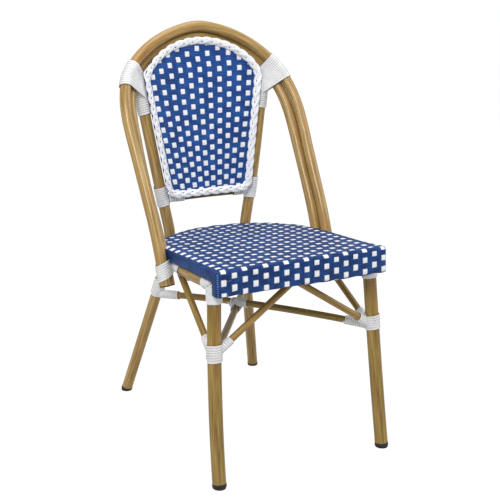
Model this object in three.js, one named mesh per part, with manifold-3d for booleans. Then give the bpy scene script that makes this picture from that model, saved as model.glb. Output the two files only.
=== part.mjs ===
// Bistro chair: a twin-tube bent hoop, two bent uprights that run on as rear legs,
// two front legs, rails, braces and a crossed stretcher, with a woven seat, a woven
// back panel and strand bindings at the joints.
// Millimetres, +Z up. The chair faces -Y, +X is its right side seen from the front,
// and the origin lies on the floor midway between the feet.
import * as THREE from 'three';
import { mergeVertices } from 'three/addons/utils/BufferGeometryUtils.js';
import Module from 'manifold-3d';

const wasm = await Module();
wasm.setup();

// Fits: the gap between pieces that touch, and how far a cutter runs past its work.
const gap = 0.3;
const overrun = 6;

// Tubes: outside diameters, and one wall for all the hollow ones.
const tubeWall = 1.5;
const hoopTube = 24;
const uprightTube = 25;
const frontLegTube = 28;
const sideRailTube = 22;
const frontRailTube = 18;
const rearRailTube = 16;
const backRailTube = 14;
const braceTube = 14;
const stretcherTube = 15;

// Seat: its top plane falls to the rear, and its plan is a D.
const seatHeight = 443;
const seatFront = 267;
const seatTiltDegrees = 3.2;
const seatFrontHalfWidth = 193;
const seatTaper = 6;
const seatSideHalfWidth = seatFrontHalfWidth - seatTaper;
const seatStraight = 247;
const seatRearDepth = 175;
const seatCornerRadius = 10;
const seatInnerCorner = 4;
const seatEdgeRadius = 7;
const seatUnderRadius = 4;
const seatBand = 26;
const weave = 3;
const seatLip = 20;
const apronHeight = 53;
const apronDepth = 23.5;
const apronPost = 9;
const apronPostShares = [-0.6, 0, 0.6];

// Hoop: the centre line of its outer tube, from the crown down to the end of each arm,
// which passes just outside the seat's edge.
const armReach = 24;
const hoopHalfWidth = seatSideHalfWidth + armReach;
const hoopCrownHeight = 868;
const hoopCrownBack = 212;
const hoopEndDrop = 87;
const hoopEndHeight = seatHeight - hoopEndDrop;
const hoopEndForward = 43;
// Width, rise and set-back along one half, crown first, each as a share of its size.
const hoopHalfShares = [
  [0, 1, 1],
  [0.327, 0.972, 0.982],
  [0.521, 0.936, 0.955],
  [0.697, 0.889, 0.918],
  [0.867, 0.816, 0.851],
  [0.948, 0.752, 0.775],
  [0.993, 0.672, 0.678],
  [1, 0.594, 0.584],
  [0.991, 0.477, 0.453],
  [0.981, 0.34, 0.298],
  [0.973, 0.223, 0.169],
  [0.967, 0.105, 0.067],
  [0.962, 0, 0],
];
// The inner tube lies beside the outer one, turned this many degrees from inward
// to backward, at even steps from the crown to the end of an arm.
const hoopTurnDegrees = [20, 24, 29, 36, 47, 60, 61, 56, 46];

// Uprights and rear legs: one bent tube a side, set in from the hoop's arms.
const rearFootInset = 35.5;
const rearFootSpread = hoopHalfWidth - rearFootInset;
const waistDrop = 58;
const waistHeight = seatHeight - waistDrop;
const waistInset = 119;
const waistSpread = hoopHalfWidth - waistInset;
const waistBack = 168;
const waistBendReach = 45;
const backRise = 102;
const backHeight = seatHeight + backRise;
const backInset = 88;
const backSpread = hoopHalfWidth - backInset;
const backBack = 174;
const backBendReach = 60;
// How far up the hoop each upright joins it, as a share of the hoop's height.
const shoulderShare = 0.8047;

// Front legs: a slight bow outward and forward.
const frontFootSplay = 2;
const frontFootSpread = seatFrontHalfWidth + frontFootSplay;
const frontFootForward = 274;
const shinShare = 0.4515;
const shinInset = 4;
const shinSpread = seatFrontHalfWidth - shinInset;
const shinForward = 245.5;
const frontLegTopInset = 15;
const frontLegTopSpread = seatFrontHalfWidth - frontLegTopInset;
const frontLegTopForward = 224.5;

// Foot caps.
const capHeight = 9;
const capStem = 16;
const capLip = 0.6;
const hoopPlugHeight = 2.5;
const hoopPlugStem = 12;

// Rails below the seat.
const frontRailDrop = 43;
const rearRailPlace = 375;
// Side rail in plan, as shares of the seat's half width and of its whole depth.
const sideRailPlanShares = [
  [0.968, 0.325],
  [0.945, 0.455],
  [0.893, 0.585],
  [0.835, 0.704],
  [0.745, 0.834],
  [0.63, 0.935],
];
const screwThread = 5;
const screwHead = 9;
const screwHeadHeight = 3;
const screwGrip = 8;
const screwRun = 160;
const screwRearInset = 22;

// Braces and stretcher.
const kneeDrop = 177;
const kneeHeight = seatHeight - kneeDrop;
const sideBraceTop = 242;
const sideBraceFootDrop = 10;
const rearStretcherDrop = 185;
const rearStretcherHeight = seatHeight - rearStretcherDrop;
const stretcherPass = 1.2;

// Back panel: a bowed woven sheet in a rod frame, with a braid over the rod.
const panelRise = 49;
const panelFoot = seatHeight + panelRise;
const panelFootBack = 146;
const panelDrop = 18.5;
const panelTop = hoopCrownHeight - panelDrop;
const panelHeight = panelTop - panelFoot;
const panelInset = 66;
const panelHalfWidth = hoopHalfWidth - panelInset;
const panelArch = 97;
const panelShoulder = panelHeight - panelArch;
const panelWaistInset = 18;
const panelWaistHalfWidth = panelHalfWidth - panelWaistInset;
const panelWaistShare = 0.628;
const panelFootInset = 38;
const panelFootHalfWidth = panelHalfWidth - panelFootInset;
const panelCorner = 30;
const panelArchShares = [1.045, 0.346, 0.63];
const panelBow = 16;
const panelRod = 9;
const braidWidth = 19;
const braidHeight = 6.8;
const braidBack = weave / 2 + gap;
// The braid's outer face, from its outer to its inner edge, and the groove behind it.
const braidFaceShares = [
  [-1, 0],
  [-0.8, 0.75],
  [0, 1],
  [0.8, 0.75],
  [1, 0],
];
const braidGrooveShares = [
  [1.1, 0],
  [0.6, 1],
  [-0.6, 1],
  [-1.1, 0],
];
const backRailDrop = 8.5;
const backRailShares = [-0.95, -0.5, 0, 0.5, 0.95];

// Bindings: flat strand wound round the tubes, and plain sleeves at the knots.
const strandWidth = 4.4;
const strandHeight = 2.1;
const strandPitch = 6;
const strandSlack = 0.7;
const shoulderSlack = 1.45;
// How far up the hoop the shoulder winding starts, as a share of the hoop's height.
const shoulderWindingShare = 0.8613;
const shoulderPitch = 7.6;
const shoulderTurns = 7;
const shoulderPostReach = 60;
const neckClearance = 14.6;
const neckTurns = 5;
const waistWindingRise = 29;
const waistTurns = 3;
const sleeveWall = 2.4;
const sleeveReach = 22;
const legKnotDrop = 73;
const kneeKnotBelow = 13;
const kneeKnotAbove = 20;
const rearKnotBelow = 2;
const rearKnotAbove = 40;
const hoopKnotEnd = 7;
const hoopKnotLength = 37;
const hoopKnotBack = 21.4;
const railKnotHalf = 9;
const crossKnotHalf = 13;
// The strand's section, narrower at its outer face, in shares of its width and height.
const strandSectionShares = [
  [-0.35, 0.5],
  [0.35, 0.5],
  [0.5, -0.5],
  [-0.5, -0.5],
];

// Facets.
const tubeSides = 12;
const boreSides = 6;
const thinSides = 8;
const rodSides = 6;
const sleeveSides = 8;
const bandSides = 12;
const hoopSteps = 30;
const bendSteps = 4;
const legSteps = 6;
const railSteps = 10;
const stretcherSteps = 6;
const cornerSteps = 3;
const rearSteps = 9;
const bowSteps = 8;
const panelFootSteps = 3;
const panelCornerSteps = 4;
const panelSideSteps = 5;
const panelArchSteps = 9;
const strandSteps = 72;
// The bend at which a strand gets its next point, and the lean below which a tube is
// taken to cross a plane squarely.
const strandBendDegrees = 29;
const squareDegrees = 0.8;

// Colours.
const cane = { color: 0xaa8c55, roughness: 0.42, metalness: 0.35 };
const darkCane = { color: 0x7d6233, roughness: 0.5, metalness: 0.3 };
const blueWeave = { color: 0x2a4d93, roughness: 0.7, metalness: 0 };
const whiteStrand = { color: 0xececf0, roughness: 0.6, metalness: 0 };
const blackPlastic = { color: 0x151515, roughness: 0.55, metalness: 0 };
const bareMetal = { color: 0x8f9296, roughness: 0.35, metalness: 0.9 };

const back = new THREE.Vector3(0, 1, 0);
const sides = [
  { side: -1, word: 'left' },
  { side: 1, word: 'right' },
];

// A curve through given stations. ExtrudeGeometry asks it for points and frames,
// and it gives the stations themselves, with the section's first axis along the
// given normals where there are any.
class StationPath extends THREE.Curve {
  constructor(points, normals = null) {
    super();
    this.points = points;
    this.normals = normals;
  }

  getPoint(t, target = new THREE.Vector3()) {
    const place = t * (this.points.length - 1);
    const index = Math.min(Math.floor(place), this.points.length - 2);
    return target.lerpVectors(this.points[index], this.points[index + 1], place - index);
  }

  getPointAt(u, target) {
    return this.getPoint(u, target);
  }

  getTangentAt(u, target = new THREE.Vector3()) {
    const last = this.points.length - 1;
    const index = Math.round(u * last);
    target.set(0, 0, 0);
    if (index > 0) target.add(direction(this.points[index - 1], this.points[index]));
    if (index < last) target.add(direction(this.points[index], this.points[index + 1]));
    return target.normalize();
  }

  computeFrenetFrames(segments, closed) {
    if (!this.normals) return super.computeFrenetFrames(segments, closed);
    const tangents = this.points.map((point, index) => this.getTangentAt(index / segments));
    const normals = this.normals.map((normal, index) => across(normal, tangents[index]));
    const binormals = normals.map((normal, index) => {
      return new THREE.Vector3().crossVectors(tangents[index], normal);
    });
    return { tangents, normals, binormals };
  }
}

function direction(from, to) {
  return new THREE.Vector3().subVectors(to, from).normalize();
}

// The part of a direction that lies square to an axis.
function across(vector, axis) {
  return vector.clone().addScaledVector(axis, -vector.dot(axis)).normalize();
}

function point(x, y, z) {
  return new THREE.Vector3(x, y, z);
}

function ringPoints(radius, sides) {
  const points = [];
  for (let side = 0; side < sides; side += 1) {
    const angle = 2 * Math.PI * side / sides;
    points.push(new THREE.Vector2(radius * Math.cos(angle), radius * Math.sin(angle)));
  }
  return points;
}

function sweep(section, path) {
  const steps = path.points.length - 1;
  return new THREE.ExtrudeGeometry(section, { steps, bevelEnabled: false, extrudePath: path });
}

// A hollow tube through the stations, open at both ends.
function hollowTube(points, diameter, sides = tubeSides, bore = boreSides) {
  const section = new THREE.Shape(ringPoints(diameter / 2, sides));
  section.holes.push(new THREE.Path(ringPoints(diameter / 2 - tubeWall, bore)));
  return solidFrom(sweep(section, new StationPath(points)));
}

function roundBar(points, diameter, sides = tubeSides) {
  const section = new THREE.Shape(ringPoints(diameter / 2, sides));
  return solidFrom(sweep(section, new StationPath(points)));
}

// What a neighbour cuts away where it meets this tube.
function cutterFor(points, diameter, sides = tubeSides) {
  const round = Math.cos(Math.PI / sides);
  return roundBar(points, (diameter + 2 * gap) / round, sides);
}

function solidFrom(geometry, matrix = null) {
  const shape = geometry.index ? geometry.clone() : geometry;
  shape.deleteAttribute('normal');
  shape.deleteAttribute('uv');
  if (matrix) shape.applyMatrix4(matrix);
  const merged = mergeVertices(shape);
  return new wasm.Manifold(new wasm.Mesh({
    numProp: 3,
    vertProperties: new Float32Array(merged.attributes.position.array),
    triVerts: new Uint32Array(merged.index.array),
  }));
}

function geometryFrom(solid) {
  const mesh = solid.getMesh();
  const geometry = new THREE.BufferGeometry();
  geometry.setAttribute('position', new THREE.BufferAttribute(mesh.vertProperties, 3));
  geometry.setIndex(new THREE.BufferAttribute(mesh.triVerts, 1));
  geometry.computeVertexNormals();
  return geometry;
}

function cut(solid, ...cutters) {
  return cutters.reduce((rest, cutter) => rest.subtract(cutter), solid);
}

function join(...solids) {
  return solids.reduce((whole, solid) => whole.add(solid));
}

// A path of straight runs whose corners are bent: each corner is a short curve
// that starts and ends one reach away from it.
function bentPath(corners, reaches, steps) {
  const points = [corners[0]];
  for (let index = 1; index < corners.length - 1; index += 1) {
    const corner = corners[index];
    const reach = reaches[index - 1];
    const start = corner.clone().addScaledVector(direction(corner, corners[index - 1]), reach);
    const end = corner.clone().addScaledVector(direction(corner, corners[index + 1]), reach);
    points.push(...new THREE.QuadraticBezierCurve3(start, corner, end).getPoints(steps));
  }
  points.push(corners[corners.length - 1]);
  return points;
}

// The point of a path at a height, for paths that climb or fall all the way.
function atHeight(points, height) {
  for (let index = 1; index < points.length; index += 1) {
    const low = points[index - 1];
    const high = points[index];
    if ((low.z - height) * (high.z - height) <= 0) {
      return low.clone().lerp(high, (height - low.z) / (high.z - low.z));
    }
  }
  return points[points.length - 1].clone();
}

// A stretch of a path between two distances from its start.
function stretch(points, from, to) {
  const part = [];
  let walked = 0;
  for (let index = 1; index < points.length; index += 1) {
    const length = points[index - 1].distanceTo(points[index]);
    const start = Math.max(from - walked, 0);
    const end = Math.min(to - walked, length);
    if (start < end) {
      if (!part.length) part.push(points[index - 1].clone().lerp(points[index], start / length));
      part.push(points[index - 1].clone().lerp(points[index], end / length));
    }
    walked += length;
  }
  return part;
}

// The stretch of a path from one height to another.
function between(points, low, high) {
  const inside = points.filter((place) => place.z > low && place.z < high);
  return [atHeight(points, low), ...inside.sort((a, b) => a.z - b.z), atHeight(points, high)];
}

function mirrored(place) {
  return point(-place.x, place.y, place.z);
}

const seatDepth = seatStraight + seatRearDepth;

// Seat plane: x across, run back from the front edge, rise above the plane.
const seatTilt = THREE.MathUtils.degToRad(seatTiltDegrees);
const seatFrame = new THREE.Matrix4()
  .makeRotationX(-seatTilt)
  .setPosition(0, -seatFront, seatHeight);

function onSeat(x, run, rise) {
  return point(x, run, rise).applyMatrix4(seatFrame);
}

// The height of a share of the hoop, counted up from the ends of its arms.
function onHoop(share) {
  return THREE.MathUtils.lerp(hoopEndHeight, hoopCrownHeight, share);
}

// Hoop: stations of both tubes, from the right arm's end over the crown to the left.
function hoopPaths() {
  const half = hoopHalfShares.map(([wide, rise, set]) => point(
    hoopHalfWidth * wide,
    set * (hoopCrownBack + hoopEndForward) - hoopEndForward,
    onHoop(rise),
  ));
  const whole = [...half.slice(1).reverse(), ...half.map(mirrored)];
  whole[half.length - 1] = half[0];
  const curve = new THREE.CatmullRomCurve3(whole, false, 'centripetal');
  const outer = [];
  const inner = [];
  for (let step = 0; step <= hoopSteps; step += 1) {
    const share = step / hoopSteps;
    const place = curve.getPointAt(share);
    const tangent = curve.getTangentAt(share);
    const rearward = across(back, tangent);
    const inward = new THREE.Vector3().crossVectors(tangent, rearward);
    const turn = THREE.MathUtils.degToRad(turnAt(Math.abs(2 * share - 1)));
    const offset = inward.multiplyScalar(Math.cos(turn)).addScaledVector(rearward, Math.sin(turn));
    outer.push(place);
    inner.push(place.clone().addScaledVector(offset, hoopTube + 2 * gap));
  }
  return { outer, inner };
}

function turnAt(share) {
  const place = share * (hoopTurnDegrees.length - 1);
  const index = Math.min(Math.floor(place), hoopTurnDegrees.length - 2);
  return THREE.MathUtils.lerp(hoopTurnDegrees[index], hoopTurnDegrees[index + 1], place - index);
}

const hoop = hoopPaths();

// One arm of a hoop tube, from the crown down to the end of the arm on a side.
function armOf(path, side) {
  const middle = (path.length - 1) / 2;
  return side > 0 ? path.slice(0, middle + 1).reverse() : path.slice(middle);
}

// Uprights: from the foot up to the hoop's inner tube, short of its axis.
function uprightPath(side) {
  const bend = point(side * backSpread, backBack, backHeight);
  const shoulder = atHeight(armOf(hoop.inner, side), onHoop(shoulderShare));
  return bentPath([
    footSeat(rearFoot(side), rearAxis(side)),
    point(side * waistSpread, waistBack, waistHeight),
    bend,
    shoulder.addScaledVector(direction(shoulder, bend), hoopTube / 4),
  ], [waistBendReach, backBendReach], bendSteps);
}

// The feet reach equally far to the front and to the rear, caps included.
function rearFoot(side) {
  const rearFootBack = frontFootForward + (frontLegTube - uprightTube) / 2;
  return point(side * rearFootSpread, rearFootBack, 0);
}

function rearAxis(side) {
  return direction(rearFoot(side), point(side * waistSpread, waistBack, waistHeight));
}

function frontFoot(side) {
  return point(side * frontFootSpread, -frontFootForward, 0);
}

// The front leg runs up into the seat's band, where it is cut off.
function frontLegCurve(side) {
  const frontLegTopHeight = onSeat(0, seatFront - frontLegTopForward, -seatBand / 2).z;
  const foot = frontFoot(side);
  const shin = point(side * shinSpread, -shinForward, seatHeight * shinShare);
  const top = point(side * frontLegTopSpread, -frontLegTopForward, frontLegTopHeight);
  const control = shin.multiplyScalar(2).addScaledVector(foot, -0.5).addScaledVector(top, -0.5);
  return new THREE.QuadraticBezierCurve3(foot, control, top);
}

function frontAxis(side) {
  return frontLegCurve(side).getTangent(0);
}

function frontLegPath(side) {
  const curve = frontLegCurve(side);
  const points = curve.getPoints(legSteps);
  points[0] = footSeat(frontFoot(side), frontAxis(side));
  return points;
}

// Where a leg tube ends above its cap.
function footSeat(foot, axis) {
  return foot.clone().addScaledVector(axis, capHeight + gap);
}

// Rails, as paths between the axes of the tubes that they join.
function sideRailPath(side) {
  const rise = -seatBand - gap - sideRailTube / 2;
  const front = atHeight(frontLegPath(side), onSeat(0, seatFront - frontLegTopForward, rise).z);
  const middle = sideRailPlanShares.map(([wide, run]) => {
    return onSeat(side * seatSideHalfWidth * wide, seatDepth * run, rise);
  });
  const rear = atHeight(uprightPath(side), onSeat(0, seatFront + waistBack, rise).z);
  const curve = new THREE.CatmullRomCurve3([front, ...middle, rear], false, 'centripetal');
  return curve.getSpacedPoints(railSteps);
}

function frontRailPath() {
  const height = onSeat(0, seatFront - frontLegTopForward, -frontRailDrop).z;
  return [atHeight(frontLegPath(-1), height), atHeight(frontLegPath(1), height)];
}

function rearRailPath() {
  const place = onSeat(0, rearRailPlace, -seatBand - gap - rearRailTube / 2);
  const spread = atDepth(sideRailPath(1), place.y).x;
  return [point(-spread, place.y, place.z), point(spread, place.y, place.z)];
}

// The point of a path at a place along Y.
function atDepth(points, depth) {
  const found = atHeight(points.map((place) => point(place.x, place.z, place.y)), depth);
  return point(found.x, found.z, found.y);
}

// Braces: from the knee of a front leg back to the side rail, and in to the middle
// of the front rail.
function knee(side) {
  return atHeight(frontLegPath(side), kneeHeight);
}

function sideBracePath(side) {
  const rise = -seatBand - gap - sideRailTube / 2;
  const foot = atHeight(frontLegPath(side), kneeHeight - sideBraceFootDrop);
  return [foot, atDepth(sideRailPath(side), onSeat(0, sideBraceTop, rise).y)];
}

function frontBracePath(side) {
  const rail = frontRailPath()[0];
  return [knee(side), point(0, rail.y, rail.z - frontRailTube / 2)];
}

// The stretcher's tubes run from a rear leg to the opposite front leg, one bowed
// up and the other down, so that they pass where they cross.
function stretcherPath(side, way) {
  const rear = atHeight(uprightPath(side), rearStretcherHeight);
  const front = knee(-side);
  const middle = rear.clone().lerp(front, 0.5);
  const bow = point(middle.x, middle.y, middle.z + way * (stretcherTube + stretcherPass));
  return new THREE.QuadraticBezierCurve3(rear, bow, front).getPoints(stretcherSteps);
}

const outerHoop = hoop.outer;
const innerHoop = hoop.inner;
const upright = eachSide((side) => uprightPath(side));
const frontLeg = eachSide((side) => frontLegPath(side));
const sideRail = eachSide((side) => sideRailPath(side));
const frontRail = frontRailPath();
const rearRail = rearRailPath();
const sideBrace = eachSide((side) => sideBracePath(side));
const frontBrace = eachSide((side) => frontBracePath(side));
const stretcher = { upper: stretcherPath(-1, 1), lower: stretcherPath(1, -1) };

const outerHoopCutter = cutterFor(outerHoop, hoopTube);
const innerHoopCutter = cutterFor(innerHoop, hoopTube);
const uprightCutter = eachSide((side, word) => cutterFor(upright[word], uprightTube));
const frontLegCutter = eachSide((side, word) => cutterFor(frontLeg[word], frontLegTube));
const sideRailCutter = eachSide((side, word) => cutterFor(sideRail[word], sideRailTube));
const frontRailCutter = cutterFor(frontRail, frontRailTube);
const sideBraceCutter = eachSide((side, word) => cutterFor(sideBrace[word], braceTube));
const frontBraceCutter = eachSide((side, word) => cutterFor(frontBrace[word], braceTube));
const stretcherCutter = {
  upper: cutterFor(stretcher.upper, stretcherTube),
  lower: cutterFor(stretcher.lower, stretcherTube),
};

function eachSide(make) {
  return { left: make(-1, 'left'), right: make(1, 'right') };
}

function piece(name, solid, look) {
  const mesh = new THREE.Mesh(geometryFrom(solid), new THREE.MeshStandardMaterial(look));
  mesh.name = name;
  return mesh;
}

function groupAt(matrix) {
  const group = new THREE.Group();
  group.applyMatrix4(matrix);
  return group;
}

// A solid of revolution, from its profile of radius and height, stood on a point
// with its height along a direction.
function turned(profile, place, axis, count = tubeSides) {
  const points = profile.map(([radius, height]) => new THREE.Vector2(radius, height));
  const quaternion = new THREE.Quaternion().setFromUnitVectors(back, axis);
  const matrix = new THREE.Matrix4().compose(place, quaternion, point(1, 1, 1));
  return solidFrom(new THREE.LatheGeometry(points, count), matrix);
}

function bodyFrom(places, triangles) {
  const geometry = new THREE.BufferGeometry();
  const values = places.flatMap(({ x, y, z }) => [x, y, z]);
  geometry.setAttribute('position', new THREE.Float32BufferAttribute(values, 3));
  geometry.setIndex(triangles.flat());
  return geometry;
}

// Walls from each ring of points to the next. They face outward where the points
// run anticlockwise about the way that the rings go.
function walls(ringCount, pointCount, closed) {
  const triangles = [];
  const last = closed ? ringCount : ringCount - 1;
  for (let ring = 0; ring < last; ring += 1) {
    const here = ring * pointCount;
    const there = ((ring + 1) % ringCount) * pointCount;
    for (let index = 0; index < pointCount; index += 1) {
      const next = (index + 1) % pointCount;
      triangles.push([here + index, here + next, there + next]);
      triangles.push([here + index, there + next, there + index]);
    }
  }
  return triangles;
}

// A solid through rings of points, capped by the triangles of one ring.
function loft(rings, cap) {
  const count = rings[0].length;
  const top = (rings.length - 1) * count;
  return bodyFrom(rings.flat(), [
    ...walls(rings.length, count, false),
    ...cap.map(([a, b, c]) => [a, c, b]),
    ...cap.map(([a, b, c]) => [top + a, top + b, top + c]),
  ]);
}

// A closed ring: a section carried round stations that each give a place and the
// section's two axes.
function ringBody(stations, section) {
  const places = stations.flatMap(({ place, first, second }) => section.map(({ x, y }) => {
    return place.clone().addScaledVector(first, x).addScaledVector(second, y);
  }));
  return solidFrom(bodyFrom(places, walls(stations.length, section.length, true)));
}

// A box between two corners.
function box(low, high, matrix = null) {
  const size = high.clone().sub(low);
  const geometry = new THREE.BoxGeometry(size.x, size.y, size.z);
  geometry.translate((low.x + high.x) / 2, (low.y + high.y) / 2, (low.z + high.z) / 2);
  return solidFrom(geometry, matrix);
}

// Seat plan, drawn in by an inset, anticlockwise seen from above: rounded front
// corners, sides that run in a little, and half an ellipse at the rear.
function seatPlan(inset, radius = Math.max(seatCornerRadius - inset, seatInnerCorner)) {
  const frontWide = seatFrontHalfWidth - inset;
  const half = [];
  for (let step = 0; step <= cornerSteps; step += 1) {
    const angle = Math.PI / 2 * (step / cornerSteps - 1);
    half.push(new THREE.Vector2(
      frontWide + radius * (Math.cos(angle) - 1),
      inset + radius * (Math.sin(angle) + 1),
    ));
  }
  for (let step = 0; step <= rearSteps; step += 1) {
    const angle = Math.PI / 2 * step / rearSteps;
    half.push(new THREE.Vector2(
      (seatSideHalfWidth - inset) * Math.cos(angle),
      seatStraight + (seatRearDepth - inset) * Math.sin(angle),
    ));
  }
  half[half.length - 1].x = 0;
  const other = half.slice(0, -1).reverse().map(({ x, y }) => new THREE.Vector2(-x, y));
  return [...half, ...other];
}

// A plate of the seat's plan between two rises, with its edges rounded below and above.
function seatPlate(inset, low, high, under = 0, edge = 0) {
  const rings = [];
  const add = (radius, share, rise, way) => {
    const plan = seatPlan(inset + radius * (1 - Math.sin(Math.PI / 2 * share)));
    const height = rise + way * radius * (1 - Math.cos(Math.PI / 2 * share));
    rings.push(plan.map(({ x, y }) => point(x, y, height)));
  };
  const shares = [0, 0.5, 1];
  (under ? shares : [1]).forEach((share) => add(under, share, low, 1));
  (edge ? [...shares].reverse() : [1]).forEach((share) => add(edge, share, high, -1));
  return solidFrom(loft(rings, THREE.ShapeUtils.triangulateShape(seatPlan(inset), [])));
}

// The seat's front strip, over the apron's depth.
function apronStrip(inset, low, high, depth) {
  const strip = box(
    point(-seatFrontHalfWidth - overrun, -overrun, low - overrun),
    point(seatFrontHalfWidth + overrun, depth, high + overrun),
  );
  return seatPlate(inset, low, high).intersect(strip);
}

const ringTube = seatBand - 2 * weave - 4 * gap;
const ringInset = weave + 2 * gap + ringTube / 2;

// What lies above the underside of the seat's band.
const seatBlock = box(
  point(-2 * seatFrontHalfWidth, -overrun, -seatBand - gap),
  point(2 * seatFrontHalfWidth, 2 * seatDepth, seatBand),
  seatFrame,
);

// A path in the seat's own frame.
function fromSeat(points) {
  const inverse = seatFrame.clone().invert();
  return points.map((place) => place.clone().applyMatrix4(inverse));
}

// The hoop's tubes where they pass the seat, in the seat's frame.
function armCutters() {
  return [outerHoop, innerHoop].flatMap((path) => sides.map(({ side }) => {
    const arm = between(armOf(path, side), seatHeight - 2 * seatBand, seatHeight + seatBand);
    return cutterFor(fromSeat(arm), hoopTube);
  }));
}

// Screws up through the side rails and the rear rail into the seat's ring, each
// given by its place on the seat's plan and the rail that it comes through.
function screwPlaces() {
  const rise = -seatBand - gap - sideRailTube / 2;
  const front = atDepth(sideRail.right, onSeat(0, screwRun, rise).y).x;
  const rear = rearRail[1].x - screwRearInset;
  return sides.flatMap(({ side, word }) => [
    { name: `seat_screw_front_${word}`, x: side * front, run: screwRun, rail: sideRailTube },
    { name: `seat_screw_rear_${word}`, x: side * rear, run: rearRailPlace, rail: rearRailTube },
  ]);
}

function screwProfile(rail) {
  const low = -seatBand - gap - rail - gap;
  const top = screwGrip + weave - seatBand;
  return [
    [0, low - screwHeadHeight],
    [screwHead / 2, low - screwHeadHeight],
    [screwHead / 2, low],
    [screwThread / 2, low],
    [screwThread / 2, top],
    [0, top],
  ];
}

function screwHoleProfile(rail) {
  const low = -seatBand - rail - overrun;
  const top = screwGrip + weave - seatBand + gap;
  const radius = screwThread / 2 + 2 * gap;
  return [
    [0, low],
    [radius, low],
    [radius, top],
    [0, top],
  ];
}

function atScrew(profile, { x, run }) {
  return turned(profile, point(x, run, 0), point(0, 0, 1), thinSides);
}

function screwHolesCutter() {
  return join(...screwPlaces().map((place) => atScrew(screwHoleProfile(place.rail), place)));
}

// Woven seat: a skin over the ring, turned in below it, with an apron that hangs
// in front and is turned in under its bar.
function wovenSeat() {
  const skin = join(
    seatPlate(0, -seatBand, 0, seatUnderRadius, seatEdgeRadius),
    apronStrip(0, -apronHeight, -seatEdgeRadius, apronDepth),
  );
  return cut(
    skin,
    seatPlate(weave, weave - seatBand, -weave),
    seatPlate(weave + seatLip, -seatBand - overrun, -weave),
    apronStrip(weave, weave - apronHeight, -weave, apronDepth + overrun),
    ...armCutters(),
    screwHolesCutter(),
  );
}

function seatRing() {
  const plan = seatPlan(ringInset, ringTube);
  const stations = plan.map(({ x, y }, index) => {
    const before = plan[(index + plan.length - 1) % plan.length];
    const after = plan[(index + 1) % plan.length];
    return {
      place: point(x, y, -seatBand / 2),
      first: point(after.y - before.y, before.x - after.x, 0).normalize(),
      second: point(0, 0, -1),
    };
  });
  const ring = ringBody(stations, ringPoints(ringTube / 2, thinSides));
  return cut(ring, ...armCutters(), screwHolesCutter());
}

// Apron bar: the lower front bar, and posts that stand on it up to the ring.
function apronBar() {
  const rise = weave - apronHeight + gap + ringTube / 2;
  const half = seatFrontHalfWidth - weave - gap;
  const reach = half - seatCornerRadius;
  const bar = roundBar(
    [point(-reach, ringInset, rise), point(reach, ringInset, rise)],
    ringTube,
    thinSides,
  );
  const ring = seatPlan(ringInset)[0].y;
  const posts = apronPostShares.map((share) => roundBar([
    point(share * half, ring, rise),
    point(share * half, ring, -seatBand / 2 - ringTube / 2 - gap),
  ], apronPost, thinSides));
  return join(bar, ...posts);
}

// Back panel's own frame: x across, y back from its face and z up it. It leans back
// until the rod at its top rests on the hoop's inner tube.
const panelFrame = panelMatrix();

function panelMatrix() {
  const crown = innerHoop[(innerHoop.length - 1) / 2];
  const rodTop = panelTop - braidWidth / 2;
  const reach = hoopTube / 2 + panelRod / 2 + gap;
  const rodBack = crown.y - Math.sqrt(reach ** 2 - (crown.z - rodTop) ** 2);
  const lean = Math.atan2(rodBack - panelBow - panelFootBack, rodTop - panelFoot);
  return new THREE.Matrix4().makeRotationX(-lean).setPosition(0, panelFootBack, panelFoot);
}

function bowAt(x) {
  return panelBow * (1 - (x / panelHalfWidth) ** 2);
}

// The braid's outer edge, drawn in by an inset, anticlockwise seen from the front:
// its places and the direction outward at each.
function panelPlan(inset) {
  const waist = panelShoulder * panelWaistShare;
  const slope = (panelWaistHalfWidth - panelFootHalfWidth) / (waist - panelCorner);
  const cornerWide = panelFootHalfWidth - slope * panelCorner;
  const [flare, rise, crown] = panelArchShares;
  const at = (x, y) => new THREE.Vector2(x, y);
  const curves = [
    [new THREE.LineCurve(at(0, 0), at(cornerWide - panelCorner, 0)), panelFootSteps],
    [new THREE.QuadraticBezierCurve(
      at(cornerWide - panelCorner, 0),
      at(cornerWide, 0),
      at(panelFootHalfWidth, panelCorner),
    ), panelCornerSteps],
    [new THREE.QuadraticBezierCurve(
      at(panelFootHalfWidth, panelCorner),
      at(panelWaistHalfWidth, waist),
      at(panelHalfWidth, panelShoulder),
    ), panelSideSteps],
    [new THREE.CubicBezierCurve(
      at(panelHalfWidth, panelShoulder),
      at(panelHalfWidth * flare, panelShoulder + rise * (panelHeight - panelShoulder)),
      at(panelHalfWidth * crown, panelHeight),
      at(0, panelHeight),
    ), panelArchSteps],
  ];
  const half = curves.flatMap(([curve, steps]) => {
    const run = [];
    for (let step = 0; step < steps; step += 1) {
      const tangent = curve.getTangent(step / steps);
      run.push({ spot: curve.getPoint(step / steps), outward: at(tangent.y, -tangent.x) });
    }
    return run;
  });
  half.push({ spot: at(0, panelHeight), outward: at(0, 1) });
  const other = half.slice(1, -1).reverse().map(({ spot, outward }) => ({
    spot: at(-spot.x, spot.y),
    outward: at(-outward.x, outward.y),
  }));
  return [...half, ...other].map(({ spot, outward }) => ({
    spot: spot.addScaledVector(outward, -inset),
    outward,
  }));
}

function panelRing(section) {
  const stations = panelPlan(braidWidth / 2).map(({ spot, outward }) => ({
    place: point(spot.x, bowAt(spot.x), spot.y),
    first: point(outward.x, 0, outward.y),
    second: point(0, 1, 0),
  }));
  return ringBody(stations, section);
}

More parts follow.
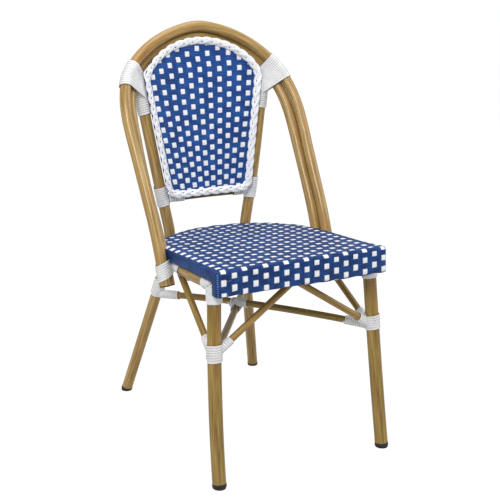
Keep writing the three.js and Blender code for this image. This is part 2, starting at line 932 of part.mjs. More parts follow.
// The sheet is a bowed plate, cut out by the outline inside the rod.
function wovenBack() {
  const front = [];
  const rear = [];
  for (let step = 0; step <= bowSteps; step += 1) {
    const x = panelHalfWidth * (2 * step / bowSteps - 1);
    front.push(new THREE.Vector2(x, bowAt(x) - weave / 2));
    rear.unshift(new THREE.Vector2(x, bowAt(x) + weave / 2));
  }
  const sheet = new THREE.ExtrudeGeometry(new THREE.Shape([...front, ...rear]), {
    depth: panelHeight,
    bevelEnabled: false,
  });
  const outline = panelPlan(braidWidth / 2 + panelRod / 2 + gap).map(({ spot }) => spot);
  const block = new THREE.ExtrudeGeometry(new THREE.Shape(outline), {
    depth: panelBow + 2 * overrun,
    bevelEnabled: false,
  });
  block.rotateX(Math.PI / 2);
  block.translate(0, panelBow + overrun, 0);
  return solidFrom(sheet).intersect(solidFrom(block));
}

// The braid lies over the front of the rod and is hollowed to seat on it.
function braidSection() {
  const groove = panelRod / 2 + gap;
  return [
    ...braidFaceShares.map(([wide, deep]) => new THREE.Vector2(
      braidWidth / 2 * wide,
      -braidBack - (braidHeight - braidBack) * deep,
    )),
    ...braidGrooveShares.map(([wide, deep]) => new THREE.Vector2(
      groove * wide,
      -braidBack - (groove - braidBack) * deep,
    )),
  ];
}

// The back rail lies below and behind the rod, and bends forward to the uprights.
function backRailPath() {
  const reach = panelRod / 2 + backRailTube / 2 + gap;
  const set = Math.sqrt(reach ** 2 - backRailDrop ** 2);
  const points = backRailShares.map((share) => {
    const x = share * (panelFootHalfWidth - panelCorner);
    return point(x, bowAt(x) + set, braidWidth / 2 - backRailDrop).applyMatrix4(panelFrame);
  });
  const height = points[0].z;
  return [atHeight(upright.left, height), ...points, atHeight(upright.right, height)];
}

const backRail = backRailPath();
const backRailCutter = cutterFor(backRail, backRailTube);

// Caps and plugs: a stem in the tube's bore and a head over its end.
function plugProfile(diameter, height, stem, lip) {
  const bore = (diameter / 2 - tubeWall) * Math.cos(Math.PI / boreSides) - gap;
  const head = diameter / 2 + lip;
  return [
    [0, -stem],
    [bore, -stem],
    [bore, 0],
    [head, 0],
    [head, height / 2],
    [head - height / 4, height],
    [0, height],
  ];
}

function footCap(foot, axis, diameter) {
  const floor = box(
    point(-2 * frontFootSpread, -2 * frontFootForward, -2 * diameter),
    point(2 * frontFootSpread, 2 * frontFootForward, 0),
  );
  const profile = plugProfile(diameter, 4 * capHeight, capStem, capLip);
  const place = foot.clone().addScaledVector(axis, capHeight);
  return cut(turned(profile, place, axis.clone().negate()), floor);
}

function hoopPlug(path, side) {
  const arm = armOf(path, side);
  const axis = direction(arm[arm.length - 2], arm[arm.length - 1]);
  const place = arm[arm.length - 1].clone().addScaledVector(axis, gap);
  return turned(plugProfile(hoopTube, hoopPlugHeight, hoopPlugStem, 0), place, axis);
}

// Where a path crosses a plane, nearest to the plane's origin.
function crossing(path, origin, normal) {
  let found = null;
  for (let index = 1; index < path.length; index += 1) {
    const low = path[index - 1].clone().sub(origin).dot(normal);
    const high = path[index].clone().sub(origin).dot(normal);
    if (low * high <= 0 && low !== high) {
      const place = path[index - 1].clone().lerp(path[index], low / (low - high));
      const distance = place.distanceTo(origin);
      if (!found || distance < found.distance) {
        found = { place, distance, axis: direction(path[index - 1], path[index]) };
      }
    }
  }
  return found;
}

// The outermost point, in a direction that lies in the plane, of a tube's section
// by the plane.
function outermost({ path, diameter }, { origin, normal }, way) {
  const cross = crossing(path, origin, normal);
  if (!cross) return null;
  const steep = Math.abs(cross.axis.dot(normal));
  const leans = steep < Math.cos(THREE.MathUtils.degToRad(squareDegrees));
  const long = leans ? across(cross.axis, normal) : way.clone();
  const short = new THREE.Vector3().crossVectors(normal, long);
  const along = way.dot(long) / steep;
  const aside = way.dot(short);
  const share = diameter / 2 / Math.hypot(along, aside);
  const place = cross.place.clone()
    .addScaledVector(long, share * along / steep)
    .addScaledVector(short, share * aside);
  const reach = place.clone().sub(origin).dot(way);
  return { path, place, reach, out: across(place.clone().sub(cross.place), cross.axis) };
}

// The point of a tight loop round the members of a plane, at a turn of the loop.
function loopPoint(plane, outward, angle) {
  const first = across(outward, plane.normal);
  const second = new THREE.Vector3().crossVectors(plane.normal, first);
  const way = first.multiplyScalar(Math.cos(angle)).addScaledVector(second, Math.sin(angle));
  const far = plane.members
    .map((member) => outermost(member, plane, way))
    .filter((found) => found)
    .reduce((best, found) => (found.reach > best.reach ? found : best));
  return { ...far, angle };
}

// Windings: a flat strand led round the members of a plane, while the plane moves
// on. Points are kept where the strand leaves one member for another, and often
// enough between for it to bend round each.
function winding(name, turns, slack, planeAt, outward) {
  const kept = [];
  let last = null;
  for (let look = 0; look <= turns * strandSteps; look += 1) {
    const turn = look / strandSteps;
    const found = loopPoint(planeAt(turn), outward, 2 * Math.PI * turn);
    const bend = kept.length ? found.angle - kept[kept.length - 1].angle : Infinity;
    const leaves = last !== null && found.path !== last.path;
    if (leaves && kept[kept.length - 1] !== last) kept.push(last);
    if (leaves || bend > THREE.MathUtils.degToRad(strandBendDegrees)) kept.push(found);
    last = found;
  }
  const points = kept.map(({ place, out }) => {
    return place.clone().addScaledVector(out, slack + strandHeight / 2);
  });
  console.log(`${name}: least gap to itself ${leastGap(points, kept).toFixed(2)} mm`);
  const section = new THREE.Shape(strandSectionShares.map(([wide, high]) => {
    return new THREE.Vector2(strandHeight * high, strandWidth * wide);
  }));
  return solidFrom(sweep(section, new StationPath(points, kept.map(({ out }) => out))));
}

// The least distance between runs half a turn or more apart, less the strand's width.
function leastGap(points, kept) {
  let least = Infinity;
  points.forEach((place, index) => {
    for (let other = index + 1; other < points.length; other += 1) {
      if (kept[other - 1].angle - kept[index].angle < Math.PI) continue;
      const run = new THREE.Line3(points[other - 1], points[other]);
      const near = run.closestPointToPoint(place, true, point(0, 0, 0));
      least = Math.min(least, near.distanceTo(place));
    }
  });
  return least - strandWidth;
}

// The plane of a turn at the shoulder, square to the hoop's arm.
function shoulderPlane(side, turn) {
  const arm = armOf(outerHoop, side);
  const run = runTo(arm, onHoop(shoulderWindingShare)) + turn * shoulderPitch;
  const part = stretch(arm, run - hoopTube, run + hoopTube);
  const origin = stretch(arm, run, run + gap)[0];
  return { origin, normal: direction(part[0], part[part.length - 1]) };
}

// The upright's top, led on past its end, for the turns that take it in.
function shoulderPost(word) {
  const [below, top] = upright[word].slice(-2);
  const beyond = top.clone().addScaledVector(direction(below, top), uprightTube);
  return { path: [...upright[word], beyond], diameter: uprightTube };
}

// Where a turn crosses the upright, if it takes it in.
function shoulderCrossing(side, word, turn) {
  const { origin, normal } = shoulderPlane(side, turn);
  const cross = crossing(shoulderPost(word).path, origin, normal);
  const top = upright[word][upright[word].length - 1];
  return cross && cross.place.distanceTo(top) < shoulderPostReach ? cross.place : null;
}

// Shoulder: turns round the pair of hoop tubes, and round the top of the upright
// as well where it leaves no room between.
function shoulderWinding(side, word) {
  const pair = [outerHoop, innerHoop].map((path) => {
    return { path: armOf(path, side), diameter: hoopTube };
  });
  const three = [...pair, shoulderPost(word)];
  return winding(`winding_shoulder_${word}`, shoulderTurns, shoulderSlack, (turn) => {
    const near = shoulderCrossing(side, word, Math.floor(turn));
    return { ...shoulderPlane(side, turn), members: near ? three : pair };
  }, point(side, 0, 0));
}

// The neck's turns start a clearance below the last shoulder turn round the upright.
function neckStart(side, word) {
  let low = upright[word][upright[word].length - 1].z;
  for (let turn = 0; turn <= shoulderTurns; turn += 1) {
    const place = shoulderCrossing(side, word, turn);
    if (place) low = Math.min(low, place.z);
  }
  return low - neckClearance;
}

// How far along a path its crossing of a place along Y lies.
function stretchTo(points, depth) {
  const turned = points.map((place) => point(place.x, place.z, -place.y));
  return runTo(turned, -depth);
}

// How far along a falling path a height lies.
function runTo(points, height) {
  let run = 0;
  for (let index = 1; index < points.length; index += 1) {
    if (points[index].z < height) {
      return run + points[index - 1].distanceTo(atHeight(points, height));
    }
    run += points[index - 1].distanceTo(points[index]);
  }
  return run;
}

// Turns round an upright alone, down from a height.
function uprightWinding(name, side, word, start, turns) {
  const post = { path: upright[word], diameter: uprightTube };
  return winding(name, turns, strandSlack, (turn) => {
    const origin = atHeight(upright[word], start - turn * strandPitch);
    const above = atHeight(upright[word], start - turn * strandPitch + strandPitch);
    return { origin, normal: direction(above, origin), members: [post] };
  }, point(side, 0, 0));
}

// Knots: plain sleeves over the tubes that meet, in place of their many turns.
function sleeve(points, diameter) {
  return roundBar(points, diameter + 2 * gap + 2 * sleeveWall, sleeveSides);
}

function legKnot(word) {
  return cut(
    sleeve(between(frontLeg[word], seatHeight - legKnotDrop, seatHeight - seatBand), frontLegTube),
    frontLegCutter[word],
    sideRailCutter[word],
    frontRailCutter,
    seatBlock,
  );
}

function kneeKnot(word) {
  const name = word === 'left' ? 'lower' : 'upper';
  const reach = frontLegTube / 2 + sleeveReach;
  const tube = [...stretcher[name]].reverse();
  return cut(
    join(
      sleeve(
        between(frontLeg[word], kneeHeight - kneeKnotBelow, kneeHeight + kneeKnotAbove),
        frontLegTube,
      ),
      sleeve(stretch(tube, 0, reach + sleeveReach / 2), stretcherTube),
    ),
    frontLegCutter[word],
    sideBraceCutter[word],
    frontBraceCutter[word],
    stretcherCutter[name],
  );
}

function rearKnot(word) {
  const name = word === 'left' ? 'upper' : 'lower';
  const low = rearStretcherHeight - rearKnotBelow;
  const high = rearStretcherHeight + rearKnotAbove;
  const reach = uprightTube / 2 + sleeveReach + sleeveReach / 2;
  return cut(
    join(
      sleeve(between(upright[word], low, high), uprightTube),
      sleeve(stretch(stretcher[name], 0, reach), stretcherTube),
    ),
    uprightCutter[word],
    stretcherCutter[name],
  );
}

// A tight band round the pair of hoop tubes where the side rail passes them.
function hoopKnot(side, word) {
  const members = [outerHoop, innerHoop].map((path) => ({
    path: armOf(path, side),
    diameter: hoopTube + 2 * gap + 2 * sleeveWall,
  }));
  const low = hoopEndHeight + hoopKnotEnd;
  const arm = between(members[0].path, low, low + hoopKnotLength);
  const normal = direction(arm[0], arm[arm.length - 1]);
  const rings = [arm[0], arm[arm.length - 1]].map((origin) => {
    return bandRing({ origin, normal, members }, point(side, 0, 0));
  });
  const place = stretchTo(sideRail[word], arm[0].y) + hoopKnotBack;
  const reach = [place - sleeveReach, place + sleeveReach];
  return cut(
    join(
      bandBody(rings),
      sleeve(stretch(sideRail[word], ...reach), sideRailTube),
    ),
    outerHoopCutter,
    innerHoopCutter,
    sideRailCutter[word],
    sideBraceCutter[word],
    seatBlock,
  );
}

function railKnot(word) {
  const path = word === 'left' ? backRail : [...backRail].reverse();
  return cut(
    join(
      sleeve(between(upright[word], path[0].z - railKnotHalf, path[0].z + railKnotHalf), uprightTube),
      sleeve(stretch(path, 0, uprightTube / 2 + sleeveReach), backRailTube),
    ),
    uprightCutter[word],
    backRailCutter,
  );
}

// The crossed stretchers' band, over both where they pass.
function crossKnot() {
  const members = [stretcher.upper, stretcher.lower].map((path) => ({
    path,
    diameter: stretcherTube + 2 * gap + 2 * sleeveWall,
  }));
  const [over, under] = [stretcher.upper, stretcher.lower].map((path) => atMiddle(path));
  const centre = over.lerp(under, 0.5);
  const rings = [-crossKnotHalf, 0, crossKnotHalf].map((place) => {
    const origin = centre.clone().addScaledVector(back, place);
    return bandRing({ origin, normal: back, members }, point(1, 0, 0));
  });
  return cut(bandBody(rings), stretcherCutter.upper, stretcherCutter.lower);
}

// The point of a path on the chair's middle plane.
function atMiddle(points) {
  const found = atHeight(points.map((place) => point(place.y, place.z, place.x)), 0);
  return point(found.z, found.x, found.y);
}

// A band's outline round the members of a plane, and the band through its outlines.
function bandRing(plane, outward) {
  const ring = [];
  for (let look = 0; look < bandSides; look += 1) {
    ring.push(loopPoint(plane, outward, 2 * Math.PI * look / bandSides).place);
  }
  return ring;
}

function bandBody(rings) {
  return solidFrom(loft(rings, rings[0].slice(2).map((place, index) => [0, index + 1, index + 2])));
}

const screwHoles = solidFrom(geometryFrom(screwHolesCutter()), seatFrame);

const chair = new THREE.Group();
chair.add(
  piece('hoop_outer', hollowTube(outerHoop, hoopTube), cane),
  piece('hoop_inner', hollowTube(innerHoop, hoopTube), cane),
  piece('front_rail', cut(
    hollowTube(frontRail, frontRailTube),
    frontLegCutter.left,
    frontLegCutter.right,
  ), cane),
  piece('rear_rail', cut(
    hollowTube(rearRail, rearRailTube),
    sideRailCutter.left,
    sideRailCutter.right,
    screwHoles,
  ), cane),
  piece('back_rail', cut(
    roundBar(backRail, backRailTube),
    uprightCutter.left,
    uprightCutter.right,
  ), darkCane),
  piece('stretcher_upper', cut(
    roundBar(stretcher.upper, stretcherTube),
    uprightCutter.left,
    frontLegCutter.right,
    frontBraceCutter.right,
    sideBraceCutter.right,
  ), cane),
  piece('stretcher_lower', cut(
    roundBar(stretcher.lower, stretcherTube),
    uprightCutter.right,
    frontLegCutter.left,
    frontBraceCutter.left,
    sideBraceCutter.left,
  ), cane),
  piece('binding_cross', crossKnot(), whiteStrand),
);

sides.forEach(({ side, word }) => {
  const otherHalf = box(
    point(Math.min(side * gap / 2, -side * seatFront), -seatFront, 0),
    point(Math.max(side * gap / 2, -side * seatFront), 0, seatHeight),
  );
  chair.add(
    piece(`upright_${word}`, cut(
      hollowTube(upright[word], uprightTube),
      outerHoopCutter,
      innerHoopCutter,
    ), cane),
    piece(`front_leg_${word}`, cut(hollowTube(frontLeg[word], frontLegTube), seatBlock), cane),
    piece(`side_rail_${word}`, cut(
      hollowTube(sideRail[word], sideRailTube),
      frontLegCutter[word],
      uprightCutter[word],
      screwHoles,
    ), cane),
    piece(`side_brace_${word}`, cut(
      roundBar(sideBrace[word], braceTube),
      frontLegCutter[word],
      sideRailCutter[word],
    ), cane),
    piece(`front_brace_${word}`, cut(
      roundBar(frontBrace[word], braceTube),
      frontLegCutter[word],
      frontRailCutter,
      otherHalf,
    ), cane),
    piece(`foot_cap_rear_${word}`, footCap(rearFoot(side), rearAxis(side), uprightTube), blackPlastic),
    piece(`foot_cap_front_${word}`, footCap(frontFoot(side), frontAxis(side), frontLegTube), blackPlastic),
    piece(`hoop_plug_outer_${word}`, hoopPlug(outerHoop, side), blackPlastic),
    piece(`hoop_plug_inner_${word}`, hoopPlug(innerHoop, side), blackPlastic),
    piece(`winding_shoulder_${word}`, shoulderWinding(side, word), whiteStrand),
    piece(`winding_neck_${word}`, uprightWinding(
      `winding_neck_${word}`,
      side,
      word,
      neckStart(side, word),
      neckTurns,
    ), whiteStrand),
    piece(`winding_waist_${word}`, uprightWinding(
      `winding_waist_${word}`,
      side,
      word,
      panelFoot + waistWindingRise,
      waistTurns,
    ), whiteStrand),
    piece(`binding_leg_top_${word}`, legKnot(word), whiteStrand),
    piece(`binding_front_knot_${word}`, kneeKnot(word), whiteStrand),
    piece(`binding_rear_knot_${word}`, rearKnot(word), whiteStrand),
    piece(`binding_hoop_end_${word}`, hoopKnot(side, word), whiteStrand),
    piece(`binding_rail_end_${word}`, railKnot(word), whiteStrand),
  );
});

const seat = groupAt(seatFrame);
seat.add(
  piece('woven_seat', wovenSeat(), blueWeave),
  piece('seat_frame', seatRing(), cane),
  piece('apron_bar', apronBar(), cane),
  ...screwPlaces().map((place) => {
    return piece(place.name, atScrew(screwProfile(place.rail), place), bareMetal);
  }),
);

const backPanel = groupAt(panelFrame);
backPanel.add(
  piece('back_frame', panelRing(ringPoints(panelRod / 2, rodSides)), cane),
  piece('woven_back', wovenBack(), blueWeave),
  piece('back_braid', panelRing(braidSection()), whiteStrand),
);
chair.add(seat, backPanel);

export default chair;
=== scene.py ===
from math import cos, pi, radians, sin, sqrt, tau

import bmesh
import bpy
from mathutils import Matrix, Vector


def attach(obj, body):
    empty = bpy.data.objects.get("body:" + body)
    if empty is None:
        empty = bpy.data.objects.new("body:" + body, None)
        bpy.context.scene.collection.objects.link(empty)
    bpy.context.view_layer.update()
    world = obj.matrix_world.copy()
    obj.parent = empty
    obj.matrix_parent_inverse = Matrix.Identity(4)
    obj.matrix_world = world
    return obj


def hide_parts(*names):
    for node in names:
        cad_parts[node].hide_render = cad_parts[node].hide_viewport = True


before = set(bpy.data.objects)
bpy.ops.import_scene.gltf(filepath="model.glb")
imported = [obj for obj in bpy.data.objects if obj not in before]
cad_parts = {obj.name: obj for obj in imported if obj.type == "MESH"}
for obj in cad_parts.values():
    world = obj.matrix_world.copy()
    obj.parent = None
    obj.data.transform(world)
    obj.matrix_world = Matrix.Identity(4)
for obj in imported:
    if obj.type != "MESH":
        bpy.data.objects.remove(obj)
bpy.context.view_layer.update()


# Hoop. Two aluminium tubes, bent side by side over the back and down to the
# seat's sides. They are powder coated and printed to look like cane, so the
# grain runs along each bend. Sizes are in millimetres, here and below.
HOOP_TUBE = 24.0
HOOP_HALF_WIDTH = 211.0
CROWN_BACK, CROWN_HIGH = 212.0, 868.0
ARM_END_BACK, ARM_END_HIGH = -43.0, 356.0
# Width, rise and set-back along one half of the outer tube, crown first, as shares.
HOOP_HALF_SHARES = [
    (0, 1, 1), (0.327, 0.972, 0.982), (0.521, 0.936, 0.955), (0.697, 0.889, 0.918),
    (0.867, 0.816, 0.851), (0.948, 0.752, 0.775), (0.993, 0.672, 0.678), (1, 0.594, 0.584),
    (0.991, 0.477, 0.453), (0.981, 0.34, 0.298), (0.973, 0.223, 0.169), (0.967, 0.105, 0.067),
    (0.962, 0, 0),
]
# The inner tube lies beside the outer one, turned by these degrees from inward to
# backward, at even steps from the crown to the end of an arm.
TWIN_TURNS = [20, 24, 29, 36, 47, 60, 61, 56, 46]
TWIN_GAP = 0.6
HOOP_STATIONS = 30


def mm(x, y, z):
    return Vector((x, y, z)) * 0.001


def flipped(places):
    return [Vector((-place.x, place.y, place.z)) for place in places]


def flowing(places, step=4.0):
    """A smooth line through even stations, with a place about every step of millimetres."""
    ends = [2 * places[0] - places[1]] + list(places) + [2 * places[-1] - places[-2]]
    line = []
    for a, b, c, d in zip(ends, ends[1:], ends[2:], ends[3:]):
        count = max(1, round((c - b).length * 1000 / step))
        for index in range(count):
            t = index / count
            line.append(0.5 * (2 * b + (c - a) * t + (2 * a - 5 * b + 4 * c - d) * t ** 2
                               + (3 * b - a - 3 * c + d) * t ** 3))
    return line + [places[-1]]


def through(places, steps=40):
    """A smooth line through uneven places, in fine steps: a centripetal spline."""
    ends = [2 * places[0] - places[1]] + list(places) + [2 * places[-1] - places[-2]]
    line = []
    for a, b, c, d in zip(ends, ends[1:], ends[2:], ends[3:]):
        before, span, after = sqrt((b - a).length), sqrt((c - b).length), sqrt((d - c).length)
        leave = ((b - a) / before - (c - a) / (before + span) + (c - b) / span) * span
        meet = ((c - b) / span - (d - b) / (span + after) + (d - c) / after) * span
        for index in range(steps):
            t = index / steps
            line.append(b + leave * t + (3 * (c - b) - 2 * leave - meet) * t ** 2
                        + (2 * (b - c) + leave + meet) * t ** 3)
    return line + [places[-1]]


def evenly(line, count):
    """Places at even steps along a line, both its ends among them."""
    total = sum((b - a).length for a, b in zip(line, line[1:]))
    even, walked = [], 0.0
    for a, b in zip(line, line[1:]):
        length = (b - a).length
        while len(even) < count and len(even) * total / count <= walked + length:
            share = (len(even) * total / count - walked) / max(length, 1e-6)
            even.append(a.lerp(b, share))
        walked += length
    return even + [line[-1]]


def aims(line):
    """The way that a line runs at each of its places."""
    last = len(line) - 1
    return [(line[min(i + 1, last)] - line[max(i - 1, 0)]).normalized() for i in range(last + 1)]


def carried(line, radius):
    """Stations of a round tube: each a place and two radii, carried along without a twist."""
    ways = aims(line)
    side = ways[0].orthogonal().normalized()
    stations = []
    for place, way in zip(line, ways):
        side = (side - way * side.dot(way)).normalized()
        stations.append((place, side * radius, way.cross(side) * radius))
    return stations


def roll(bm, stations, sides, boxy=1.0):
    """A flat grid rolled round the stations. The run layer keeps where each point would
    lie if the tube or strand were pulled straight, so a pattern can follow the bends."""
    run = bm.verts.layers.float_vector.get("run") or bm.verts.layers.float_vector.new("run")
    along = [0.0]
    for (a, *_), (b, *_) in zip(stations, stations[1:]):
        along.append(along[-1] + (b - a).length)
    last = len(stations) - 1
    sheet = bmesh.ops.create_grid(bm, x_segments=sides, y_segments=last, size=0.5)["verts"]
    for vert in sheet:
        turn, index = (vert.co.x + 0.5) * tau, round((vert.co.y + 0.5) * last)
        place, wide, high = stations[index]
        c, s = cos(turn), sin(turn)
        c, s = abs(c) ** boxy * (1 if c > 0 else -1), abs(s) ** boxy * (1 if s > 0 else -1)
        vert[run] = Vector((c * wide.length, s * high.length, along[index]))
        vert.co = place + wide * c + high * s
    bmesh.ops.remove_doubles(bm, verts=sheet, dist=1e-6)


def finished(name, bm, material, replaces=(), sharp=45):
    """Closes the open ends, turns the faces outward and puts the piece on the chair."""
    bmesh.ops.holes_fill(bm, edges=[e for e in bm.edges if e.is_boundary], sides=0)
    bmesh.ops.recalc_face_normals(bm, faces=bm.faces)
    mesh = bpy.data.meshes.new(name)
    bm.to_mesh(mesh)
    bm.free()
    mesh.shade_smooth()
    mesh.set_sharp_from_angle(angle=radians(sharp))
    mesh.materials.append(material)
    piece = bpy.data.objects.new(name, mesh)
    bpy.context.scene.collection.objects.link(piece)
    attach(piece, "root")
    if replaces:
        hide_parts(*replaces)
    return piece


def shade(code):
    """An sRGB hex colour as linear values."""
    parts = [int(code[i:i + 2], 16) / 255 for i in (0, 2, 4)]
    return (*[p / 12.92 if p <= 0.04045 else ((p + 0.055) / 1.055) ** 2.4 for p in parts], 1.0)


def add(tree, kind, settings=None, links=None):
    """Adds a node, with its settings and the outputs that feed its inputs."""
    node = tree.nodes.new(kind)
    for key, value in (settings or {}).items():
        if isinstance(key, str) and hasattr(node, key):
            setattr(node, key, value)
        else:
            node.inputs[key].default_value = value
    for key, output in (links or {}).items():
        tree.links.new(output, node.inputs[key])
    return node


def blank(name):
    material = bpy.data.materials.new(name)
    material.use_nodes = True
    material.node_tree.nodes.clear()
    return material, material.node_tree


def ramp(tree, factor, stops):
    """A colour ramp with its stops given as places and hex colours."""
    node = add(tree, "ShaderNodeValToRGB", links={"Fac": factor})
    while len(node.color_ramp.elements) < len(stops):
        node.color_ramp.elements.new(0.5)
    for element, (place, code) in zip(node.color_ramp.elements, stops):
        element.position, element.color = place, shade(code)
    return node.outputs["Color"]


def noise(tree, vector, detail, stretch=None, scale=1.0, shift=(0, 0, 0), roughness=0.5):
    """Noise read at a vector, which is first stretched and shifted where that is asked."""
    if stretch:
        vector = add(tree, "ShaderNodeMapping", {"Scale": stretch, "Location": shift},
                     {"Vector": vector}).outputs[0]
    settings = {"Scale": scale, "Detail": detail, "Roughness": roughness}
    return add(tree, "ShaderNodeTexNoise", settings, {"Vector": vector}).outputs["Fac"]


def outlet(tree, surface, height=None, strength=0.0, distance=0.0):
    """Sends a surface to the material's output, with its normal bumped by a height."""
    if height:
        bump = add(tree, "ShaderNodeBump", {"Strength": strength, "Distance": distance},
                   {"Height": height})
        tree.links.new(bump.outputs[0], surface.inputs["Normal"])
    add(tree, "ShaderNodeOutputMaterial", links={"Surface": surface.outputs[0]})


def multiplied(tree, share, one, two):
    """One colour multiplied by a share of another."""
    settings = {"data_type": "RGBA", "blend_type": "MULTIPLY", 0: share}
    return add(tree, "ShaderNodeMix", settings, {6: one, 7: two}).outputs[2]


def pulled_straight(tree):
    """Where a point would lie if its tube or strand were straight."""
    return add(tree, "ShaderNodeAttribute", {"attribute_name": "run"}).outputs["Vector"]


def painted_cane(name, stops, drift):
    """Powder-coated aluminium with a printed cane grain: a satin golden brown, streaked
    in lines 2 to 5 mm wide and some 100 mm long, under a thin clear lacquer."""
    material, tree = blank(name)
    run = pulled_straight(tree)
    streak = noise(tree, run, 4.0, (260, 260, 11), roughness=0.62)
    patch = noise(tree, run, 2.0, (90, 90, 5), shift=(3, 7, 1))
    grain = noise(tree, run, 2.0, (900, 900, 14))
    colour = multiplied(tree, 0.75, ramp(tree, streak, stops), ramp(tree, patch, drift))
    rough = add(tree, "ShaderNodeMapRange", {"To Min": 0.27, "To Max": 0.43}, {"Value": streak})
    surface = add(tree, "ShaderNodeBsdfPrincipled",
                  {"Metallic": 0.0, "Coat Weight": 0.25, "Coat Roughness": 0.18},
                  {"Base Color": colour, "Roughness": rough.outputs[0]})
    outlet(tree, surface, grain, 0.12, 0.0004)
    return material


cane_paint = painted_cane(
    "cane_printed_powder_coat",
    [(0.28, "7C5C2C"), (0.45, "A9884C"), (0.58, "BE9C60"), (0.74, "D3B680")],
    [(0.30, "E6C4A0"), (0.50, "FFFFFF"), (0.70, "E3E6BE")],
)


def tube(name, line, diameter, material, replaces, sides=28):
    bm = bmesh.new()
    roll(bm, carried(line, diameter / 2000), sides)
    return finished(name, bm, material, replaces)


def twin_turn(share):
    """How far the inner tube has turned round the outer one, at a share of an arm."""
    index = min(int(share * (len(TWIN_TURNS) - 1)), len(TWIN_TURNS) - 2)
    low, high = TWIN_TURNS[index:index + 2]
    return radians(low + (high - low) * (share * (len(TWIN_TURNS) - 1) - index))


def hoop_pair():
    """The lines of both hoop tubes, from the right arm's end over the crown to the left."""
    left = [mm(-HOOP_HALF_WIDTH * wide,
               ARM_END_BACK + (CROWN_BACK - ARM_END_BACK) * back,
               ARM_END_HIGH + (CROWN_HIGH - ARM_END_HIGH) * rise)
            for wide, rise, back in HOOP_HALF_SHARES]
    fine = evenly(through(flipped(left[:0:-1]) + left), HOOP_STATIONS * 10)
    outer, inner = [], []
    for index, (place, way) in enumerate(zip(fine, aims(fine))):
        if index % 10 == 0:
            rearward = (Vector((0, 1, 0)) - way * way.y).normalized()
            turn = twin_turn(abs(2 * index / (len(fine) - 1) - 1))
            aside = way.cross(rearward) * cos(turn) + rearward * sin(turn)
            outer.append(place)
            inner.append(place + aside * (HOOP_TUBE + TWIN_GAP) / 1000)
    return flowing(outer), flowing(inner)


hoop_lines = dict(zip(("outer", "inner"), hoop_pair()))
for word, line in hoop_lines.items():
    tube(f"hoop_{word}_tube", line, HOOP_TUBE, cane_paint, [f"hoop_{word}"])


# Hoop plugs. A moulded polyethylene plug closes the sawn end of each hoop tube,
# with a low rim that sits on the cut.
# Radii and heights, from inside the bore out over the rim: a stem, a step, a lid.
PLUG_PROFILE = [(0, -12), (7.5, -12), (8.6, -10.5), (8.6, 0.2), (11.8, 0.2), (12, 0.8),
                (11.7, 1.9), (10.6, 2.5), (6, 2.7), (0, 2.7)]


def black_plastic():
    """Injection-moulded polyethylene: near black, soft sheen, a fine spark-eroded skin."""
    material, tree = blank("black_moulded_polyethylene")
    place = add(tree, "ShaderNodeTexCoord").outputs["Object"]
    skin = noise(tree, place, 2.0, scale=1400.0)
    scuff = noise(tree, place, 3.0, scale=90.0)
    colour = ramp(tree, scuff, [(0.35, "121315"), (0.75, "2A2B2E")])
    surface = add(tree, "ShaderNodeBsdfPrincipled", {"Roughness": 0.48}, {"Base Color": colour})
    outlet(tree, surface, skin, 0.15, 0.0002)
    return material


plug_plastic = black_plastic()


def turned(bm, profile, place, axis):
    """A profile of radii and heights in millimetres, spun round an axis."""
    lean = Vector((0, 0, 1)).rotation_difference(axis).to_matrix().to_4x4()
    verts = [bm.verts.new(mm(radius, 0, height)) for radius, height in profile]
    edges = [bm.edges.new(pair) for pair in zip(verts, verts[1:])]
    bmesh.ops.spin(bm, geom=verts + edges, axis=(0, 0, 1), cent=(0, 0, 0), dvec=(0, 0, 0),
                   angle=tau, steps=32, use_merge=True, use_duplicate=False)
    bmesh.ops.remove_doubles(bm, verts=bm.verts, dist=1e-6)
    bmesh.ops.transform(bm, matrix=Matrix.Translation(place) @ lean, verts=bm.verts)


def arm(word, side):
    """One arm of a hoop tube, from the crown down to its end on a side."""
    line = hoop_lines[word]
    middle = len(line) // 2
    return line[middle:] if side < 0 else line[middle::-1]


for word in ("outer", "inner"):
    for side, hand in ((-1, "left"), (1, "right")):
        end, before = arm(word, side)[-1], arm(word, side)[-3]
        bm = bmesh.new()
        turned(bm, PLUG_PROFILE, end, (end - before).normalized())
        finished(f"hoop_plug_{word}_{hand}_moulded", bm, plug_plastic,
                 [f"hoop_plug_{word}_{hand}"], 30)


# Uprights. One bent tube a side: the rear leg, a bend under the seat, and the
# upright of the back, which ends at the hoop's inner tube.
UPRIGHT_TUBE = 25.0
UPRIGHT_CORNERS = [(173.6, 273.1, 8.8), (92, 168, 385), (123, 174, 545), (158.2, 190.4, 762.1)]
UPRIGHT_BENDS = [45, 60]    # how far each bend reaches either way from its corner


def bezier(places, share):
    while len(places) > 1:
        places = [a.lerp(b, share) for a, b in zip(places, places[1:])]
    return places[0]


def bent(corners, reaches, steps=12):
    """A straight line whose corners are bent, each over its reach either way."""
    line = [corners[0]]
    for before, corner, after, reach in zip(corners, corners[1:], corners[2:], reaches):
        start = corner + (before - corner).normalized() * reach / 1000
        end = corner + (after - corner).normalized() * reach / 1000
        line += [bezier([start, corner, end], i / steps) for i in range(steps + 1)]
    return line + [corners[-1]]


uprights = {}
for side, hand in ((-1, "left"), (1, "right")):
    uprights[hand] = bent([mm(side * x, y, z) for x, y, z in UPRIGHT_CORNERS], UPRIGHT_BENDS)
    tube(f"upright_{hand}_tube", uprights[hand], UPRIGHT_TUBE, cane_paint, [f"upright_{hand}"])


# Front legs. The stoutest tubes, bowed a little outward and forward, that run up
# into the seat's front corners.
LEG_TUBE = 28.0
LEG_FOOT, LEG_SHIN, LEG_TOP = (195, -274, 0), (189, -245.5, 200), (178, -224.5, 427.6)
LEG_START = (194.8, -272.4, 9.2)    # where the tube stands on its cap
LEG_CUT = 414.0                     # the height where it ends, inside the seat

